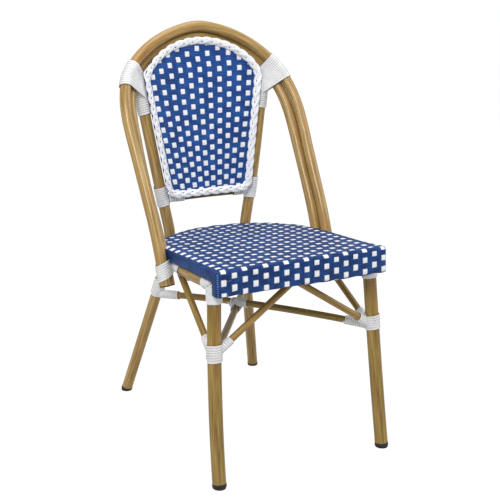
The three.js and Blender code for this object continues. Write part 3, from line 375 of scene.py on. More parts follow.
# A darker, slightly more olive copy of the cane coat for the front legs, braces, rails and
# stretchers under the seat: its darkness is painted shade under the seat, as the real chair has
# one coat.
shaded_leg_paint = painted_cane(
    "cane_printed_powder_coat_shaded_legs",
    [(0.28, "684C1C"), (0.45, "927431"), (0.58, "A5873D"), (0.74, "BD9F57")],
    [(0.30, "E8C0A4"), (0.50, "FFFFFF"), (0.70, "E2E6B4")],
)
legs = {}
for side, hand in ((-1, "left"), (1, "right")):
    foot, shin, top, start = [mm(side * x, y, z) for x, y, z in
                              (LEG_FOOT, LEG_SHIN, LEG_TOP, LEG_START)]
    bow = 2 * shin - 0.5 * foot - 0.5 * top
    line = [start] + [bezier([foot, bow, top], i / 40) for i in range(1, 41)]
    legs[hand] = [place for place in line if place.z < LEG_CUT / 1000]
    tube(f"front_leg_{hand}_tube", legs[hand], LEG_TUBE, shaded_leg_paint, [f"front_leg_{hand}"])


# Foot caps. Black moulded caps pushed into the tube ends: a stem in the bore,
# and a rounded shoe cut level with the floor.
CAP_HIGH = 9.0
CAP_STEM = 16.0      # how far the stem reaches into the bore
CAP_SHANK = 22.0     # how far the shoe runs down before it is cut level

for name, foot, line, radius in (("rear", (175.5, 275.5), uprights, 13.1),
                                 ("front", (195, -274), legs, 14.6)):
    for side, hand in ((-1, "left"), (1, "right")):
        ground = mm(side * foot[0], foot[1], 0)
        axis = (ground - line[hand][1]).normalized()
        bm = bmesh.new()
        turned(bm, [(0, -CAP_STEM), (radius - 4.6, -CAP_STEM), (radius - 3.4, 1.5 - CAP_STEM),
                    (radius - 3.4, 0), (radius - 0.6, 0), (radius, 0.8), (radius, 5),
                    (radius - 0.3, 7), (radius - 1.6, 10), (radius - 2, CAP_SHANK),
                    (0, CAP_SHANK)],
               ground - axis * CAP_HIGH / 1000, axis)
        bmesh.ops.bisect_plane(bm, geom=bm.verts[:] + bm.edges[:] + bm.faces[:],
                               plane_co=(0, 0, 0), plane_no=(0, 0, -1), clear_outer=True)
        finished(f"foot_cap_{name}_{hand}_moulded", bm, plug_plastic,
                 [f"foot_cap_{name}_{hand}"], 30)


# Rails, braces and stretchers. Thinner tubes in the same printed coat: two side
# rails and a front and rear rail under the seat, four slanting braces, and the
# stretchers that cross between the legs.
SEAT_FRONT, SEAT_HIGH = 267.0, 443.0
SEAT_TILT = radians(3.2)
SIDE_RAIL_TUBE, FRONT_RAIL_TUBE, REAR_RAIL_TUBE, BACK_RAIL_TUBE = 22.0, 18.0, 16.0, 14.0
BRACE_TUBE, STRETCHER_TUBE = 14.0, 15.0
SIDE_RAIL_RISE = -37.3    # its middle, under the seat's plane
SIDE_RAIL_PLAN = [(181.0, 137.2), (176.7, 192), (167, 246.9), (156.1, 297.1), (139.3, 351.9),
                  (117.8, 394.6)]
SIDE_RAIL_FRONT, SIDE_RAIL_REAR = (179.3, -226.4, 403.4), (96.7, 172, 381.5)
SIDE_BRACE = [(186.6, -239.5, 256), (167.9, -27.5, 392.2)]
FRONT_BRACE = [(186.2, -238.4, 266), (0.4, -226.8, 388.7)]
FRONT_RAIL_END, REAR_RAIL_END = (179.6, -226.8, 397.7), (128.1, 105.5, 387.8)
BACK_RAIL = [(-112.4, 172, 490.6), (-73.1, 166.1, 490.6), (0, 170.1, 490.1),
             (73.1, 166.1, 490.6), (112.4, 172, 490.6)]
STRETCHER_ENDS = [(-119.5, 203.5, 258), (186.2, -238.4, 266)]
STRETCHER_BOW = 16.2      # up for one and down for the other, so that they pass


def on_seat(x, run, rise):
    """A place on the seat: across, back from its front edge, and up from its plane."""
    return mm(x, -SEAT_FRONT + run * cos(SEAT_TILT) + rise * sin(SEAT_TILT),
              SEAT_HIGH - run * sin(SEAT_TILT) + rise * cos(SEAT_TILT))


def straight(a, b, step=10.0):
    count = max(2, round((b - a).length * 1000 / step))
    return [a.lerp(b, i / count) for i in range(count + 1)]


def on_side(side, place):
    """A place given for the right side, put on a side."""
    return mm(side * place[0], place[1], place[2])


def side_rail(side):
    middle = [on_seat(side * x, run, SIDE_RAIL_RISE) for x, run in SIDE_RAIL_PLAN]
    ends = on_side(side, SIDE_RAIL_FRONT), on_side(side, SIDE_RAIL_REAR)
    return flowing(evenly(through([ends[0]] + middle + [ends[1]]), 10))


def stretcher(side, bow):
    """A stretcher from a rear leg to the front leg across from it."""
    rear, front = [on_side(side, place) for place in STRETCHER_ENDS]
    middle = rear.lerp(front, 0.5) + mm(0, 0, bow)
    return flowing([bezier([rear, middle, front], i / 6) for i in range(7)], 8)


# A darker copy of the cane coat for the back's bottom rail, which lies in shadow under the braid:
# painted shade.
shaded_rail_paint = painted_cane(
    "cane_printed_powder_coat_shaded_rail",
    [(0.28, "5C4423"), (0.45, "6E5530"), (0.58, "7C6238"), (0.74, "8C7246")],
    [(0.30, "E8D2B4"), (0.50, "FFFFFF"), (0.70, "E6E4C8")],
)
side_rails, side_braces, front_braces = {}, {}, {}
for side, hand in ((-1, "left"), (1, "right")):
    side_rails[hand] = side_rail(side)
    side_braces[hand] = straight(*[on_side(side, place) for place in SIDE_BRACE])
    front_braces[hand] = straight(*[on_side(side, place) for place in FRONT_BRACE])
    tube(f"side_rail_{hand}_tube", side_rails[hand], SIDE_RAIL_TUBE, cane_paint,
         [f"side_rail_{hand}"])
    tube(f"side_brace_{hand}_tube", side_braces[hand], BRACE_TUBE, shaded_leg_paint,
         [f"side_brace_{hand}"])
    tube(f"front_brace_{hand}_tube", front_braces[hand], BRACE_TUBE, shaded_leg_paint,
         [f"front_brace_{hand}"])
for word, end, across in (("front", FRONT_RAIL_END, FRONT_RAIL_TUBE),
                          ("rear", REAR_RAIL_END, REAR_RAIL_TUBE)):
    tube(f"{word}_rail_tube", straight(on_side(-1, end), on_side(1, end)), across,
         shaded_leg_paint, [f"{word}_rail"])
stretchers = {"upper": stretcher(1, STRETCHER_BOW), "lower": stretcher(-1, -STRETCHER_BOW)}
for word, line in stretchers.items():
    tube(f"stretcher_{word}_tube", line, STRETCHER_TUBE, shaded_leg_paint, [f"stretcher_{word}"])
back_rail = flowing([mm(*place) for place in BACK_RAIL])
tube("back_rail_tube", back_rail, BACK_RAIL_TUBE, shaded_rail_paint, ["back_rail"])


# Seat frame. Inside the woven seat a closed ring follows its plan, with a lower bar
# and three posts behind the apron, held by four screws. All of it is hidden, so the
# solids are left as they are and only take their finish.
def inner_metal(name, dull, bright, rough):
    """Plain mill metal inside the weave: drawn lines some 0.5 mm apart, no print."""
    material, tree = blank(name)
    place = add(tree, "ShaderNodeTexCoord").outputs["Object"]
    drawn = noise(tree, place, 3.0, (30, 300, 300), scale=4.0)
    colour = ramp(tree, drawn, [(0.3, dull), (0.7, bright)])
    surface = add(tree, "ShaderNodeBsdfPrincipled", {"Metallic": 0.9, "Roughness": rough},
                  {"Base Color": colour})
    outlet(tree, surface, drawn, 0.1, 0.0002)
    return material


ring_metal = inner_metal("mill_finish_aluminium", "8E8E8C", "B9B9B6", 0.45)
screw_metal = inner_metal("zinc_plated_steel", "8A8F96", "C2C7CC", 0.3)
for name in ("seat_frame", "apron_bar", "seat_screw_front_left",
             "seat_screw_front_right", "seat_screw_rear_left", "seat_screw_rear_right"):
    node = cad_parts[name]
    node.data.materials.clear()
    node.data.materials.append(screw_metal if "screw" in name else ring_metal)


# Woven seat. Flat polyethylene strand: white warps run front to back and down
# the apron, blue wefts of three strands a row cross them over one, under one,
# so the white shows as squares set like the dark fields of a chessboard.
# The plan is a D: straight sides that close a little, and a rear half ellipse.
SEAT_HALF, SEAT_REAR_HALF = 193.0, 187.0
SEAT_STRAIGHT, SEAT_ROUND = 247.0, 175.0
SEAT_CORNER = 10.0     # radius of the front corners in plan
EDGE = 7.0             # radius of the seat's edge
APRON = 53.0
HEM = 3.0              # radius at the apron's lower edge
SHOULDER = 16.0        # over which the top falls away to its edge
TURN = 3.0             # over which the apron turns its upright corners
SAG_FROM, SAG_OVER, SAG = -130.0, 45.0, 0.09    # the apron's left end hangs this much deeper
WARP_WIDE, WARP_THICK = 11.8, 1.0
WARP_LOW, WARP_HIGH = -0.75, 0.35    # lifts of a strand's middle, under and over the others
WEFT_LOW, WEFT_HIGH = -0.75, 0.6
WEFT_THICK = 1.5
SNUG = 1.04            # a weft's threads are this much wider than their pitch
SEAT_PITCH = 13.2
SEAT_WARPS = [3.5 + 22.9 * (c - 8) for c in range(17)]
APRON_ROWS = [60.6, 49.5, 37.3, 25.4, 14.6, 4.6, -5.6, -16.6]
SEAT_ROWS = APRON_ROWS + [-16.6 - SEAT_PITCH * k for k in range(1, 31)]


def extruded_strand(name, stops, rough, lines, edge=2.2, shadow="B4B4B8"):
    """Extruded polyethylene strand: solid colour, waxy gloss, and faint die lines along
    it. The real lines are about 0.3 mm apart, and are drawn 1 mm apart to show. Its
    edges, from the edge distance out from its middle in millimetres, are darkened towards
    the shadow colour: painted shade in the seams between strands."""
    material, tree = blank(name)
    run = pulled_straight(tree)
    place = add(tree, "ShaderNodeTexCoord").outputs["Object"]
    line = noise(tree, run, 2.0, (1000, 1000, 20))
    lot = noise(tree, place, 3.0, scale=55.0)
    both = add(tree, "ShaderNodeMath", {"operation": "MULTIPLY_ADD", 1: lines}, {0: line, 2: lot})
    # Painted shade: near its edges the strand darkens towards the shadow colour, where the seams
    # between strands lie.
    apart = add(tree, "ShaderNodeSeparateXYZ", links={0: run})
    aside = add(tree, "ShaderNodeMath", {"operation": "ABSOLUTE"}, {0: apart.outputs[0]})
    seam = add(tree, "ShaderNodeMapRange", {"From Min": edge * 0.00065, "From Max": edge * 0.001},
               {"Value": aside.outputs[0]})
    painted_seam_shade = ramp(tree, seam.outputs[0], [(0.0, "FFFFFF"), (1.0, shadow)])
    colour = multiplied(tree, 1.0, ramp(tree, both.outputs[0], stops), painted_seam_shade)
    surface = add(tree, "ShaderNodeBsdfPrincipled",
                  {"Roughness": rough, "IOR": 1.5, "Specular IOR Level": 0.3},
                  {"Base Color": colour})
    outlet(tree, surface, line, 0.25, 0.0003)
    return material


# The seat's strand is a darker, greyer copy of the back's blue strand below. For each strand, the
# last two values set the reach and colour of the painted seam shade.
blue_strand = extruded_strand("navy_polyethylene_strand",
                              [(0.35, "0B2A5A"), (0.60, "103873"), (0.85, "184A8C")],
                              0.42, 0.35, 2.3, "7C8498")
white_strand = extruded_strand("white_polyethylene_strand",
                               [(0.30, "E6E9F2"), (0.60, "F4F6FC"), (0.85, "FCFDFF")],
                               0.38, 0.35, 6.0)


def seat_half(run):
    """Half the seat's width at a run back from its front edge."""
    if run < SEAT_CORNER:
        return SEAT_HALF - SEAT_CORNER + sqrt(max(0, SEAT_CORNER ** 2 - (SEAT_CORNER - run) ** 2))
    if run < SEAT_STRAIGHT:
        return SEAT_HALF + (SEAT_REAR_HALF - SEAT_HALF) * run / SEAT_STRAIGHT
    return SEAT_REAR_HALF * sqrt(max(0, 1 - ((run - SEAT_STRAIGHT) / SEAT_ROUND) ** 2))


def seat_back(x):
    """How far back the seat's edge lies at a place across it."""
    return SEAT_STRAIGHT + SEAT_ROUND * sqrt(max(0, 1 - (x / SEAT_REAR_HALF) ** 2))


def seat_profile(s):
    """Run, rise and normal at a length along the front's profile, 0 where the edge's
    curve starts, less than 0 on the top and more than 0 down the apron."""
    if s <= 0:
        return EDGE - s, 0, 0, 1
    if s <= EDGE * pi / 2:
        a = s / EDGE
        return EDGE - EDGE * sin(a), EDGE * cos(a) - EDGE, -sin(a), cos(a)
    s -= EDGE * pi / 2
    if s <= APRON - EDGE - HEM:
        return 0, -EDGE - s, -1, 0
    a = min((s - (APRON - EDGE - HEM)) / HEM, pi / 2)
    rest = s - (APRON - EDGE - HEM) - a * HEM
    return HEM - HEM * cos(a) + rest, HEM - APRON - HEM * sin(a), -cos(a), -sin(a)


def seat_rim(x, run):
    """How far a place on the seat lies inside its edge, and the way outward there."""
    if run <= SEAT_STRAIGHT:
        return seat_half(max(run, SEAT_CORNER)) - abs(x), Vector((1 if x > 0 else -1, 0))
    beyond = run - SEAT_STRAIGHT
    slope = Vector((x / SEAT_REAR_HALF ** 2, beyond / SEAT_ROUND ** 2))
    size = sqrt((x / SEAT_REAR_HALF) ** 2 + (beyond / SEAT_ROUND) ** 2)
    return (1 - size) * size / slope.length, slope.normalized()


def seat_skin(x, s, out):
    """A place on the weave, raised off it, with the weave's normal there. The top falls
    away to its edge over SHOULDER, less near the front right corner, and the apron turns
    its upright corners over TURN."""
    if x < SAG_FROM and s > 0:
        s *= 1 + SAG * min((SAG_FROM - x) / SAG_OVER, 1)
    run, rise, back, up = seat_profile(s)
    inside, way = seat_rim(x, run)
    tight = min(max((run - SEAT_CORNER) / 60, 0.15), 1) if x > 0 else 1
    span = TURN + (SHOULDER * tight - TURN) * up
    share = min(max((span - inside) / span, 0), 0.97)
    fall, lean = 1 - sqrt(1 - share ** 2), share / sqrt(1 - share ** 2) / span
    run += TURN * fall * (1 - up)
    rise -= EDGE * tight * fall * up
    lean *= EDGE * tight * up + TURN * (1 - up)
    normal = Vector((way.x * lean, back + way.y * lean, up)).normalized()
    place = on_seat(x + normal.x * out, run + normal.y * out, rise + normal.z * out)
    turned_up = on_seat(normal.x, normal.y, normal.z) - on_seat(0, 0, 0)
    return place, turned_up.normalized()


def strand(bm, places, normals, wide, thick, sides=6, boxy=0.6):
    """A flat strand along places, lying on the surface whose normals are given."""
    stations = []
    for place, way, normal in zip(places, aims(places), normals):
        across = way.cross(normal).normalized()
        stations.append((place, across * wide / 2000, across.cross(way) * thick / 2000))
    roll(bm, stations, sides, boxy)


def weft_run(edge, warps, row, width):
    """Where a weft goes across: places and lifts, under the white at its own columns."""
    run = []
    for column, x in enumerate(warps):
        lift = WEFT_LOW if (column + row) % 2 == 0 else WEFT_HIGH
        run += [(x - width * 0.36, lift), (x + width * 0.36, lift)]
    run = [(x, lift) for x, lift in run if abs(x) < edge - 3.5]
    ends = [(edge, 0.0), (edge - 1, 0.0), (edge - 2.2, 0.0)]
    return [(-x, lift) for x, lift in ends] + run + ends[::-1]


def laid(bm, path, wide, thick, boxy=0.6):
    """A flat strand along a path of places and normals."""
    strand(bm, [place for place, _ in path], [normal for _, normal in path], wide, thick, 6, boxy)


wefts, warps = bmesh.new(), bmesh.new()
for row, s in enumerate(SEAT_ROWS):
    pitch = (SEAT_ROWS[max(row - 1, 0)] - SEAT_ROWS[min(row + 1, len(SEAT_ROWS) - 1)]) / 2
    for thread in (-1, 0, 1):
        at = s + thread * pitch / 3
        run = seat_profile(at)[0]
        if run > SEAT_STRAIGHT + SEAT_ROUND - 3:
            continue
        reach = seat_half(max(run, SEAT_CORNER)) - 0.1
        path = [seat_skin(x, at, lift) for x, lift in
                weft_run(reach, SEAT_WARPS, row + 1, WARP_WIDE)]
        laid(wefts, path, pitch / 3 * SNUG, WEFT_THICK)
for column, x in enumerate(SEAT_WARPS):
    path = []
    for row, s in enumerate(SEAT_ROWS):
        if seat_profile(s - 4)[0] > seat_back(x) - 0.5:
            break
        lift = WARP_HIGH if (column + row + 1) % 2 == 0 else WARP_LOW
        for step in (4, 0, -4):
            most = seat_half(max(seat_profile(s + step)[0], SEAT_CORNER)) - 2.5
            path.append(seat_skin(max(-most, min(x, most)), s + step, lift))
    laid(warps, path, WARP_WIDE, WARP_THICK, 0.5)
finished("seat_wefts", wefts, blue_strand, ["woven_seat"])
finished("seat_warps", warps, white_strand, ["woven_seat"])


# Seat border. The same blue strand is lapped round the ring at the sides and
# the rear, turn beside turn, from the weave's edge down and under the seat, and
# deeper over the apron's ends. A stitched seam closes each front corner.
LAP = 3.4
LAP_THICK = 1.5
SIDE_DEPTH = 26.0        # how deep the lapping hangs at the sides and the rear
FLAP = 23.5              # how far back the apron's ends run
ROUND_LENGTH = 284.0     # along the rear edge from a side to its middle


def seat_border():
    """Places round the seat's right side and rear, from its front."""
    runs = [4 + index * LAP for index in range(int(20 / LAP))]
    step = 20.0
    while step < SEAT_STRAIGHT:
        runs.append(step)
        step += LAP
    count = round(ROUND_LENGTH / LAP)
    turns = [pi / 2 * index / count for index in range(count + 1)]
    return [(seat_half(run), run) for run in runs] + [
        (SEAT_REAR_HALF * cos(turn), SEAT_STRAIGHT + SEAT_ROUND * sin(turn)) for turn in turns]


border = bmesh.new()
spots = seat_border()
before_first = (spots[0][0], spots[0][1] - 1)
for side in (-1, 1):
    for (xa, ya), (x, y), (xb, yb) in zip([before_first] + spots, spots, spots[1:]):
        way = Vector((yb - ya, xa - xb)).normalized()
        depth = APRON if y < FLAP else SIDE_DEPTH
        lap = [(1.2, -4.0), (0.2, -7.0), (-0.2, -depth / 2), (-0.1, -depth + 3.5),
               (0.8, -depth + 0.9), (3.2, -depth + 0.1), (14, -depth + 0.1)]
        places = [on_seat(side * (x - way.x * inset), y - way.y * inset, rise)
                  for inset, rise in lap]
        aside, down = Vector((side * way.x, way.y, 0)), Vector((0, 0, -1))
        outs = [aside] * 4 + [(aside + down) * 0.7, down, down]
        strand(border, places, outs, LAP * 1.02, LAP_THICK)
finished("seat_border_lapped", border, blue_strand, ["woven_seat"])

STITCHES, STITCH_PITCH = 11, 4.3
seams, stitches = bmesh.new(), bmesh.new()
for side in (-1, 1):
    diagonal = Vector((side, -1, 0)).normalized()
    corner = [on_seat(side * 191.7, 1.3, -5 - 47 * index / 12) for index in range(13)]
    strand(seams, corner, [diagonal] * 13, 3.4, 2.4, 10, 0.9)
    for index in range(STITCHES):
        place = on_seat(side * 192.6, 0.4, -7.5 - STITCH_PITCH * index)
        lay = [place + mm(-side * 1.6, -0.9, -0.5), place, place + mm(side * 0.6, 1.6, 0.5)]
        strand(stitches, lay, [diagonal] * 3, 1.6, 1.4, 8, 1.0)
finished("seat_corner_seams", seams, blue_strand, ["woven_seat"])
pale_strand = extruded_strand("pale_blue_stitching_thread",
                              [(0.3, "4F74B8"), (0.6, "6C8CC8"), (0.85, "88A4D6")], 0.5, 0.3)
finished("seat_corner_stitches", stitches, pale_strand)


# Woven back. The same weave on an arched rod, bowed to the sitter's back: eleven
# white warps that draw together downward, and blue wefts of three strands a row.
PANEL_LEAN = radians(6.937)
PANEL_FOOT_BACK, PANEL_FOOT_HIGH = 146.0, 492.0
PANEL_HIGH = 357.5
PANEL_HALF = 145.0
PANEL_ASIDE = -2.0     # the panel hangs this far off the chair's middle
BOW = 16.0
BRAID_WIDE = 19.0
RIM_STEP = 3.0
BACK_PITCH = 11.75
BACK_ROWS = [38.0 + BACK_PITCH * j for j in range(-2, 27)]
BACK_COLUMNS = 11
BACK_WARP_WIDE = 11.4
# Rises and how far apart the warps lie there.
WARP_SPREAD = [(0, 14.8), (42, 16.6), (207, 22.4), (279, 24.2), (PANEL_HIGH, 25.6)]
# The right half of the panel's outline: a foot, a corner, a side and half an arch.
PANEL_CURVES = [
    [(0, 0), (75, 0)], [(75, 0), (106, 0), (110.5, 30)],
    [(110.5, 30), (131, 163.6), (146.5, 260.5)],
    [(146.5, 260.5), (153, 294.1), (91.4, PANEL_HIGH), (0, PANEL_HIGH)],
]


def on_back(x, rise, out):
    """A place on the bowed back, raised off its front, and the way that front faces."""
    slope = -2 * BOW * x / PANEL_HALF ** 2
    face = Vector((slope, -1)).normalized()
    across, deep = x + face.x * out, BOW * (1 - (x / PANEL_HALF) ** 2) + face.y * out
    c, s = cos(PANEL_LEAN), sin(PANEL_LEAN)
    place = mm(across + PANEL_ASIDE, PANEL_FOOT_BACK + deep * c + rise * s,
               PANEL_FOOT_HIGH - deep * s + rise * c)
    return place, Vector((face.x, face.y * c, -face.y * s))


def back_rim(inset, step=RIM_STEP):
    """The back's outline, drawn in by an inset, at even steps: across, rise, and outward."""
    half = []
    for curve in PANEL_CURVES:
        corners = [Vector(corner) for corner in curve]
        half += [bezier(corners, index / 60) for index in range(60)]
    half.append(Vector(PANEL_CURVES[-1][-1]))
    whole = half + [Vector((-place.x, place.y)) for place in half[-2:0:-1]] + half[:1]
    total = sum((b - a).length for a, b in zip(whole, whole[1:]))
    even = evenly(whole, round(total / step))[:-1]
    rim = []
    for a, b, c in zip(even[-1:] + even[:-1], even, even[1:] + even[:1]):
        way = (c - a).normalized()
        outward = Vector((way.y, -way.x))
        rim.append((b - outward * inset, outward))
    return rim


rod_line = back_rim(BRAID_WIDE / 2)


def back_half(rise):
    """Half the width between the rod's sides at a rise."""
    wide = 0.0
    for (a, _), (b, _) in zip(rod_line, rod_line[1:]):
        if a.x > 0 and b.x > 0 and (a.y - rise) * (b.y - rise) <= 0 and a.y != b.y:
            wide = max(wide, a.lerp(b, (rise - a.y) / (b.y - a.y)).x)
    return wide


def warp_at(column, rise):
    """Where a warp lies across. The weaver's last rows drift to the left at the middle."""
    last_rows = max(0, min((rise - 285) / 30, 1))
    drift = -1.4 - 4.5 * last_rows * (1 - ((column - 4) / 6) ** 2)
    for (a, first), (b, second) in zip(WARP_SPREAD, WARP_SPREAD[1:]):
        if rise <= b or b == PANEL_HIGH:
            return drift + (column - 5) * (first + (second - first) * (rise - a) / (b - a))


wefts, warps = bmesh.new(), bmesh.new()
for row, rise in enumerate(BACK_ROWS):
    for thread in (-1, 0, 1):
        at = rise + thread * BACK_PITCH / 3
        reach = back_half(at)
        if reach < 12:
            continue
        columns = [warp_at(column, at) for column in range(BACK_COLUMNS)]
        path = [on_back(x, at, lift) for x, lift in weft_run(reach, columns, row, BACK_WARP_WIDE)]
        laid(wefts, path, BACK_PITCH / 3 * SNUG, WEFT_THICK)
for column in range(BACK_COLUMNS):
    path = []
    for row, rise in enumerate(BACK_ROWS):
        for at in (rise - 3.6, rise, rise + 3.6):
            x = warp_at(column, at)
            if abs(x) + 3 < back_half(at):
                path.append(on_back(x, at, WARP_HIGH if (column + row) % 2 == 0 else WARP_LOW))
    laid(warps, path, BACK_WARP_WIDE, WARP_THICK, 0.5)
# A brighter copy of the seat's blue strand, for the back's wefts and the rod lapping.
bright_blue_strand = extruded_strand("blue_polyethylene_strand",
                                     [(0.35, "163870"), (0.60, "1B4A93"), (0.85, "245CAA")],
                                     0.42, 0.35, 2.05, "7C8498")
finished("back_wefts", wefts, bright_blue_strand, ["woven_back"])
finished("back_warps", warps, white_strand, ["woven_back"])


# Rod lapping and braid. The blue strand is lapped round the rod to hold the
# weave's ends, and a flat plait of white strand is laced over it at the front.
ROD = 9.0
ROD_LAP, ROD_LAP_THICK = 4.0, 1.1
rod_round = [on_back(spot.x, spot.y, 0)[0] for spot, _ in rod_line + rod_line[:1]]
tube("back_rod", rod_round, ROD, ring_metal, ["back_frame"], 16)

lapping = bmesh.new()
places, outs = [], []
looks = 10             # at so many places to a turn
for index in range(round(len(rod_line) * RIM_STEP / ROD_LAP * looks)):
    at = index / looks * ROD_LAP / RIM_STEP
    a, b = rod_line[int(at) % len(rod_line)], rod_line[(int(at) + 1) % len(rod_line)]
    spot, outward = a[0].lerp(b[0], at % 1), a[1].lerp(b[1], at % 1).normalized()
    turn = tau * index / looks
    radius = ROD / 2 + 0.4
    swing = outward * cos(turn) * radius
    place, _ = on_back(spot.x + swing.x, spot.y + swing.y, sin(turn) * radius)
    centre, _ = on_back(spot.x, spot.y, 0)
    places.append(place)
    outs.append((place - centre).normalized())
strand(lapping, places, outs, ROD_LAP, ROD_LAP_THICK, 6, 0.7)
finished("back_rod_lapping", lapping, bright_blue_strand)

PLAIT_PITCH = 25.0     # from one leaf of the plait to the next on the same side
PLAIT_SWING = 5.8      # how far a strand swings to either side
PLAIT_LIFT = 4.6       # of its middle, off the weave
PLAIT_SLANT = 0.31     # the plait leans this much, higher at its outer side
PLAIT_WIDE, PLAIT_THICK = 7.6, 2.6
braid = bmesh.new()
rim = back_rim(BRAID_WIDE / 2, 2.0)
rounds = round(len(rim) * 2.0 / (3 * PLAIT_PITCH))
for start in range(3):
    places, outs = [], []
    for index in range(len(rim) + 1):
        spot, outward = rim[index % len(rim)]
        turn = tau * (rounds * index / len(rim) + start / 3)
        aside = PLAIT_SWING * sin(turn)
        arch = 2.0 * (1 - (aside / 8) ** 2) + 0.75 * sin(2 * turn) - 0.05 * max(aside, 0) ** 2
        high = PLAIT_LIFT + PLAIT_SLANT * aside + arch
        across = spot + outward * (aside * 0.96 + 0.2)
        place, face = on_back(across.x, across.y, high)
        across += outward
        slant = PLAIT_SLANT - aside / 16
        edge, _ = on_back(across.x, across.y, high + slant)
        places.append(place)
        outs.append((face - (edge - place) * 1000 * slant).normalized())
    strand(braid, places, outs, PLAIT_WIDE, PLAIT_THICK, 10, 0.9)
finished("back_braid_plaited", braid, white_strand, ["back_braid"], 80)


# Bindings. White strand wound tightly round the tubes where they meet: the hoop
# and uprights at the shoulders, the back's bottom rail, the leg tops, the arms'
# ends, the knees, the rear legs and the stretchers' crossing.
BIND_WIDE, BIND_THICK = 5.0, 2.0
# Its last two values set where the painted shade in the seams between turns starts, and its
# colour.
binding_strand = extruded_strand("off_white_polyethylene_strand",
                                 [(0.30, "DCDCDC"), (0.60, "E8E8E8"), (0.85, "F2F2F2")],
                                 0.38, 0.35, 2.5, "CECED0")


def stretch(line, start, end):
    """The stretch of a line between two distances from its start, in millimetres."""
    part, walked = [], 0.0
    for a, b in zip(line, line[1:]):
        length = (b - a).length * 1000
        low, high = max(start - walked, 0), min(end - walked, length)
        if low < high:
            if not part:
                part.append(a.lerp(b, low / length))
            part.append(a.lerp(b, high / length))
        walked += length
    return part


def rise_to(line, height):
    """How far along a line it first passes a height, in millimetres."""
    walked = 0.0
    for a, b in zip(line, line[1:]):
        if (a.z - height / 1000) * (b.z - height / 1000) <= 0 and a.z != b.z:
            return walked + (b - a).length * 1000 * (height / 1000 - a.z) / (b.z - a.z)
        walked += (b - a).length * 1000
    return walked


def rise_point(line, height):
    """Where a line passes a height."""
    walked = rise_to(line, height)
    return stretch(line, walked, walked + 1)[0]


def outermost(member, origin, normal, way):
    """The furthest point of a tube's cut by a plane in a way that lies in the plane. A
    member is a tube's line in metres and its diameter in millimetres."""
    line, radius = member[0], member[1] / 2000
    best = None
    for a, b in zip(line, line[1:]):
        low, high = (a - origin).dot(normal), (b - origin).dot(normal)
        if low * high <= 0 and low != high:
            place = a.lerp(b, low / (low - high))
            if best is None or (place - origin).length < (best[0] - origin).length:
                best = place, (b - a).normalized()
    if best is None:
        return None
    centre, axis = best
    steep = max(abs(axis.dot(normal)), 0.3)
    long = axis - normal * axis.dot(normal)
    long = long.normalized() if long.length > 0.01 else way.copy()
    short = normal.cross(long)
    reach = radius / sqrt((way.dot(long) / steep) ** 2 + way.dot(short) ** 2)
    place = centre + long * reach * way.dot(long) / steep ** 2 + short * reach * way.dot(short)
    out = place - centre
    out = (out - axis * out.dot(axis)).normalized()
    return (place - origin).dot(way), place, out


def wind(bm, members, spine, turns, facing, slack, wide=BIND_WIDE, tilt=None, looks=36):
    """A strand wound round the members, while its turns step along the spine. It starts
    at the side that it faces, and lies off the tubes by the slack."""
    length = sum((b - a).length for a, b in zip(spine, spine[1:])) * 1000
    places, outs = [], []
    for look in range(round(turns * looks) + 1):
        share = look / (turns * looks)
        part = stretch(spine, share * length * 0.999, share * length * 0.999 + length / 20 + 0.5)
        origin, normal = part[0], (part[-1] - part[0]).normalized()
        if tilt:
            normal = (normal + tilt).normalized()
        first = (facing - normal * facing.dot(normal)).normalized()
        second = normal.cross(first)
        way = first * cos(tau * look / looks) + second * sin(tau * look / looks)
        found = [f for f in (outermost(m, origin, normal, way) for m in members) if f]
        if not found:
            continue
        _, place, out = max(found, key=lambda f: f[0])
        places.append(place + out * (slack + BIND_THICK / 2) / 1000)
        outs.append(out)
    strand(bm, places, outs, wide, BIND_THICK, 8, 1.0)


def sleeve(bm, line, diameter, start, length, turns, facing, slack=0.6):
    """A strand wound round one tube, from a distance along it and over a length."""
    wind(bm, [(line, diameter)], stretch(line, start, start + length), turns, facing, slack)


def near(line, place, reach):
    """The part of a line that lies near a place, within a reach in millimetres."""
    close = [p for p in line if (p - place).length * 1000 < reach]
    return close if len(close) > 1 else line


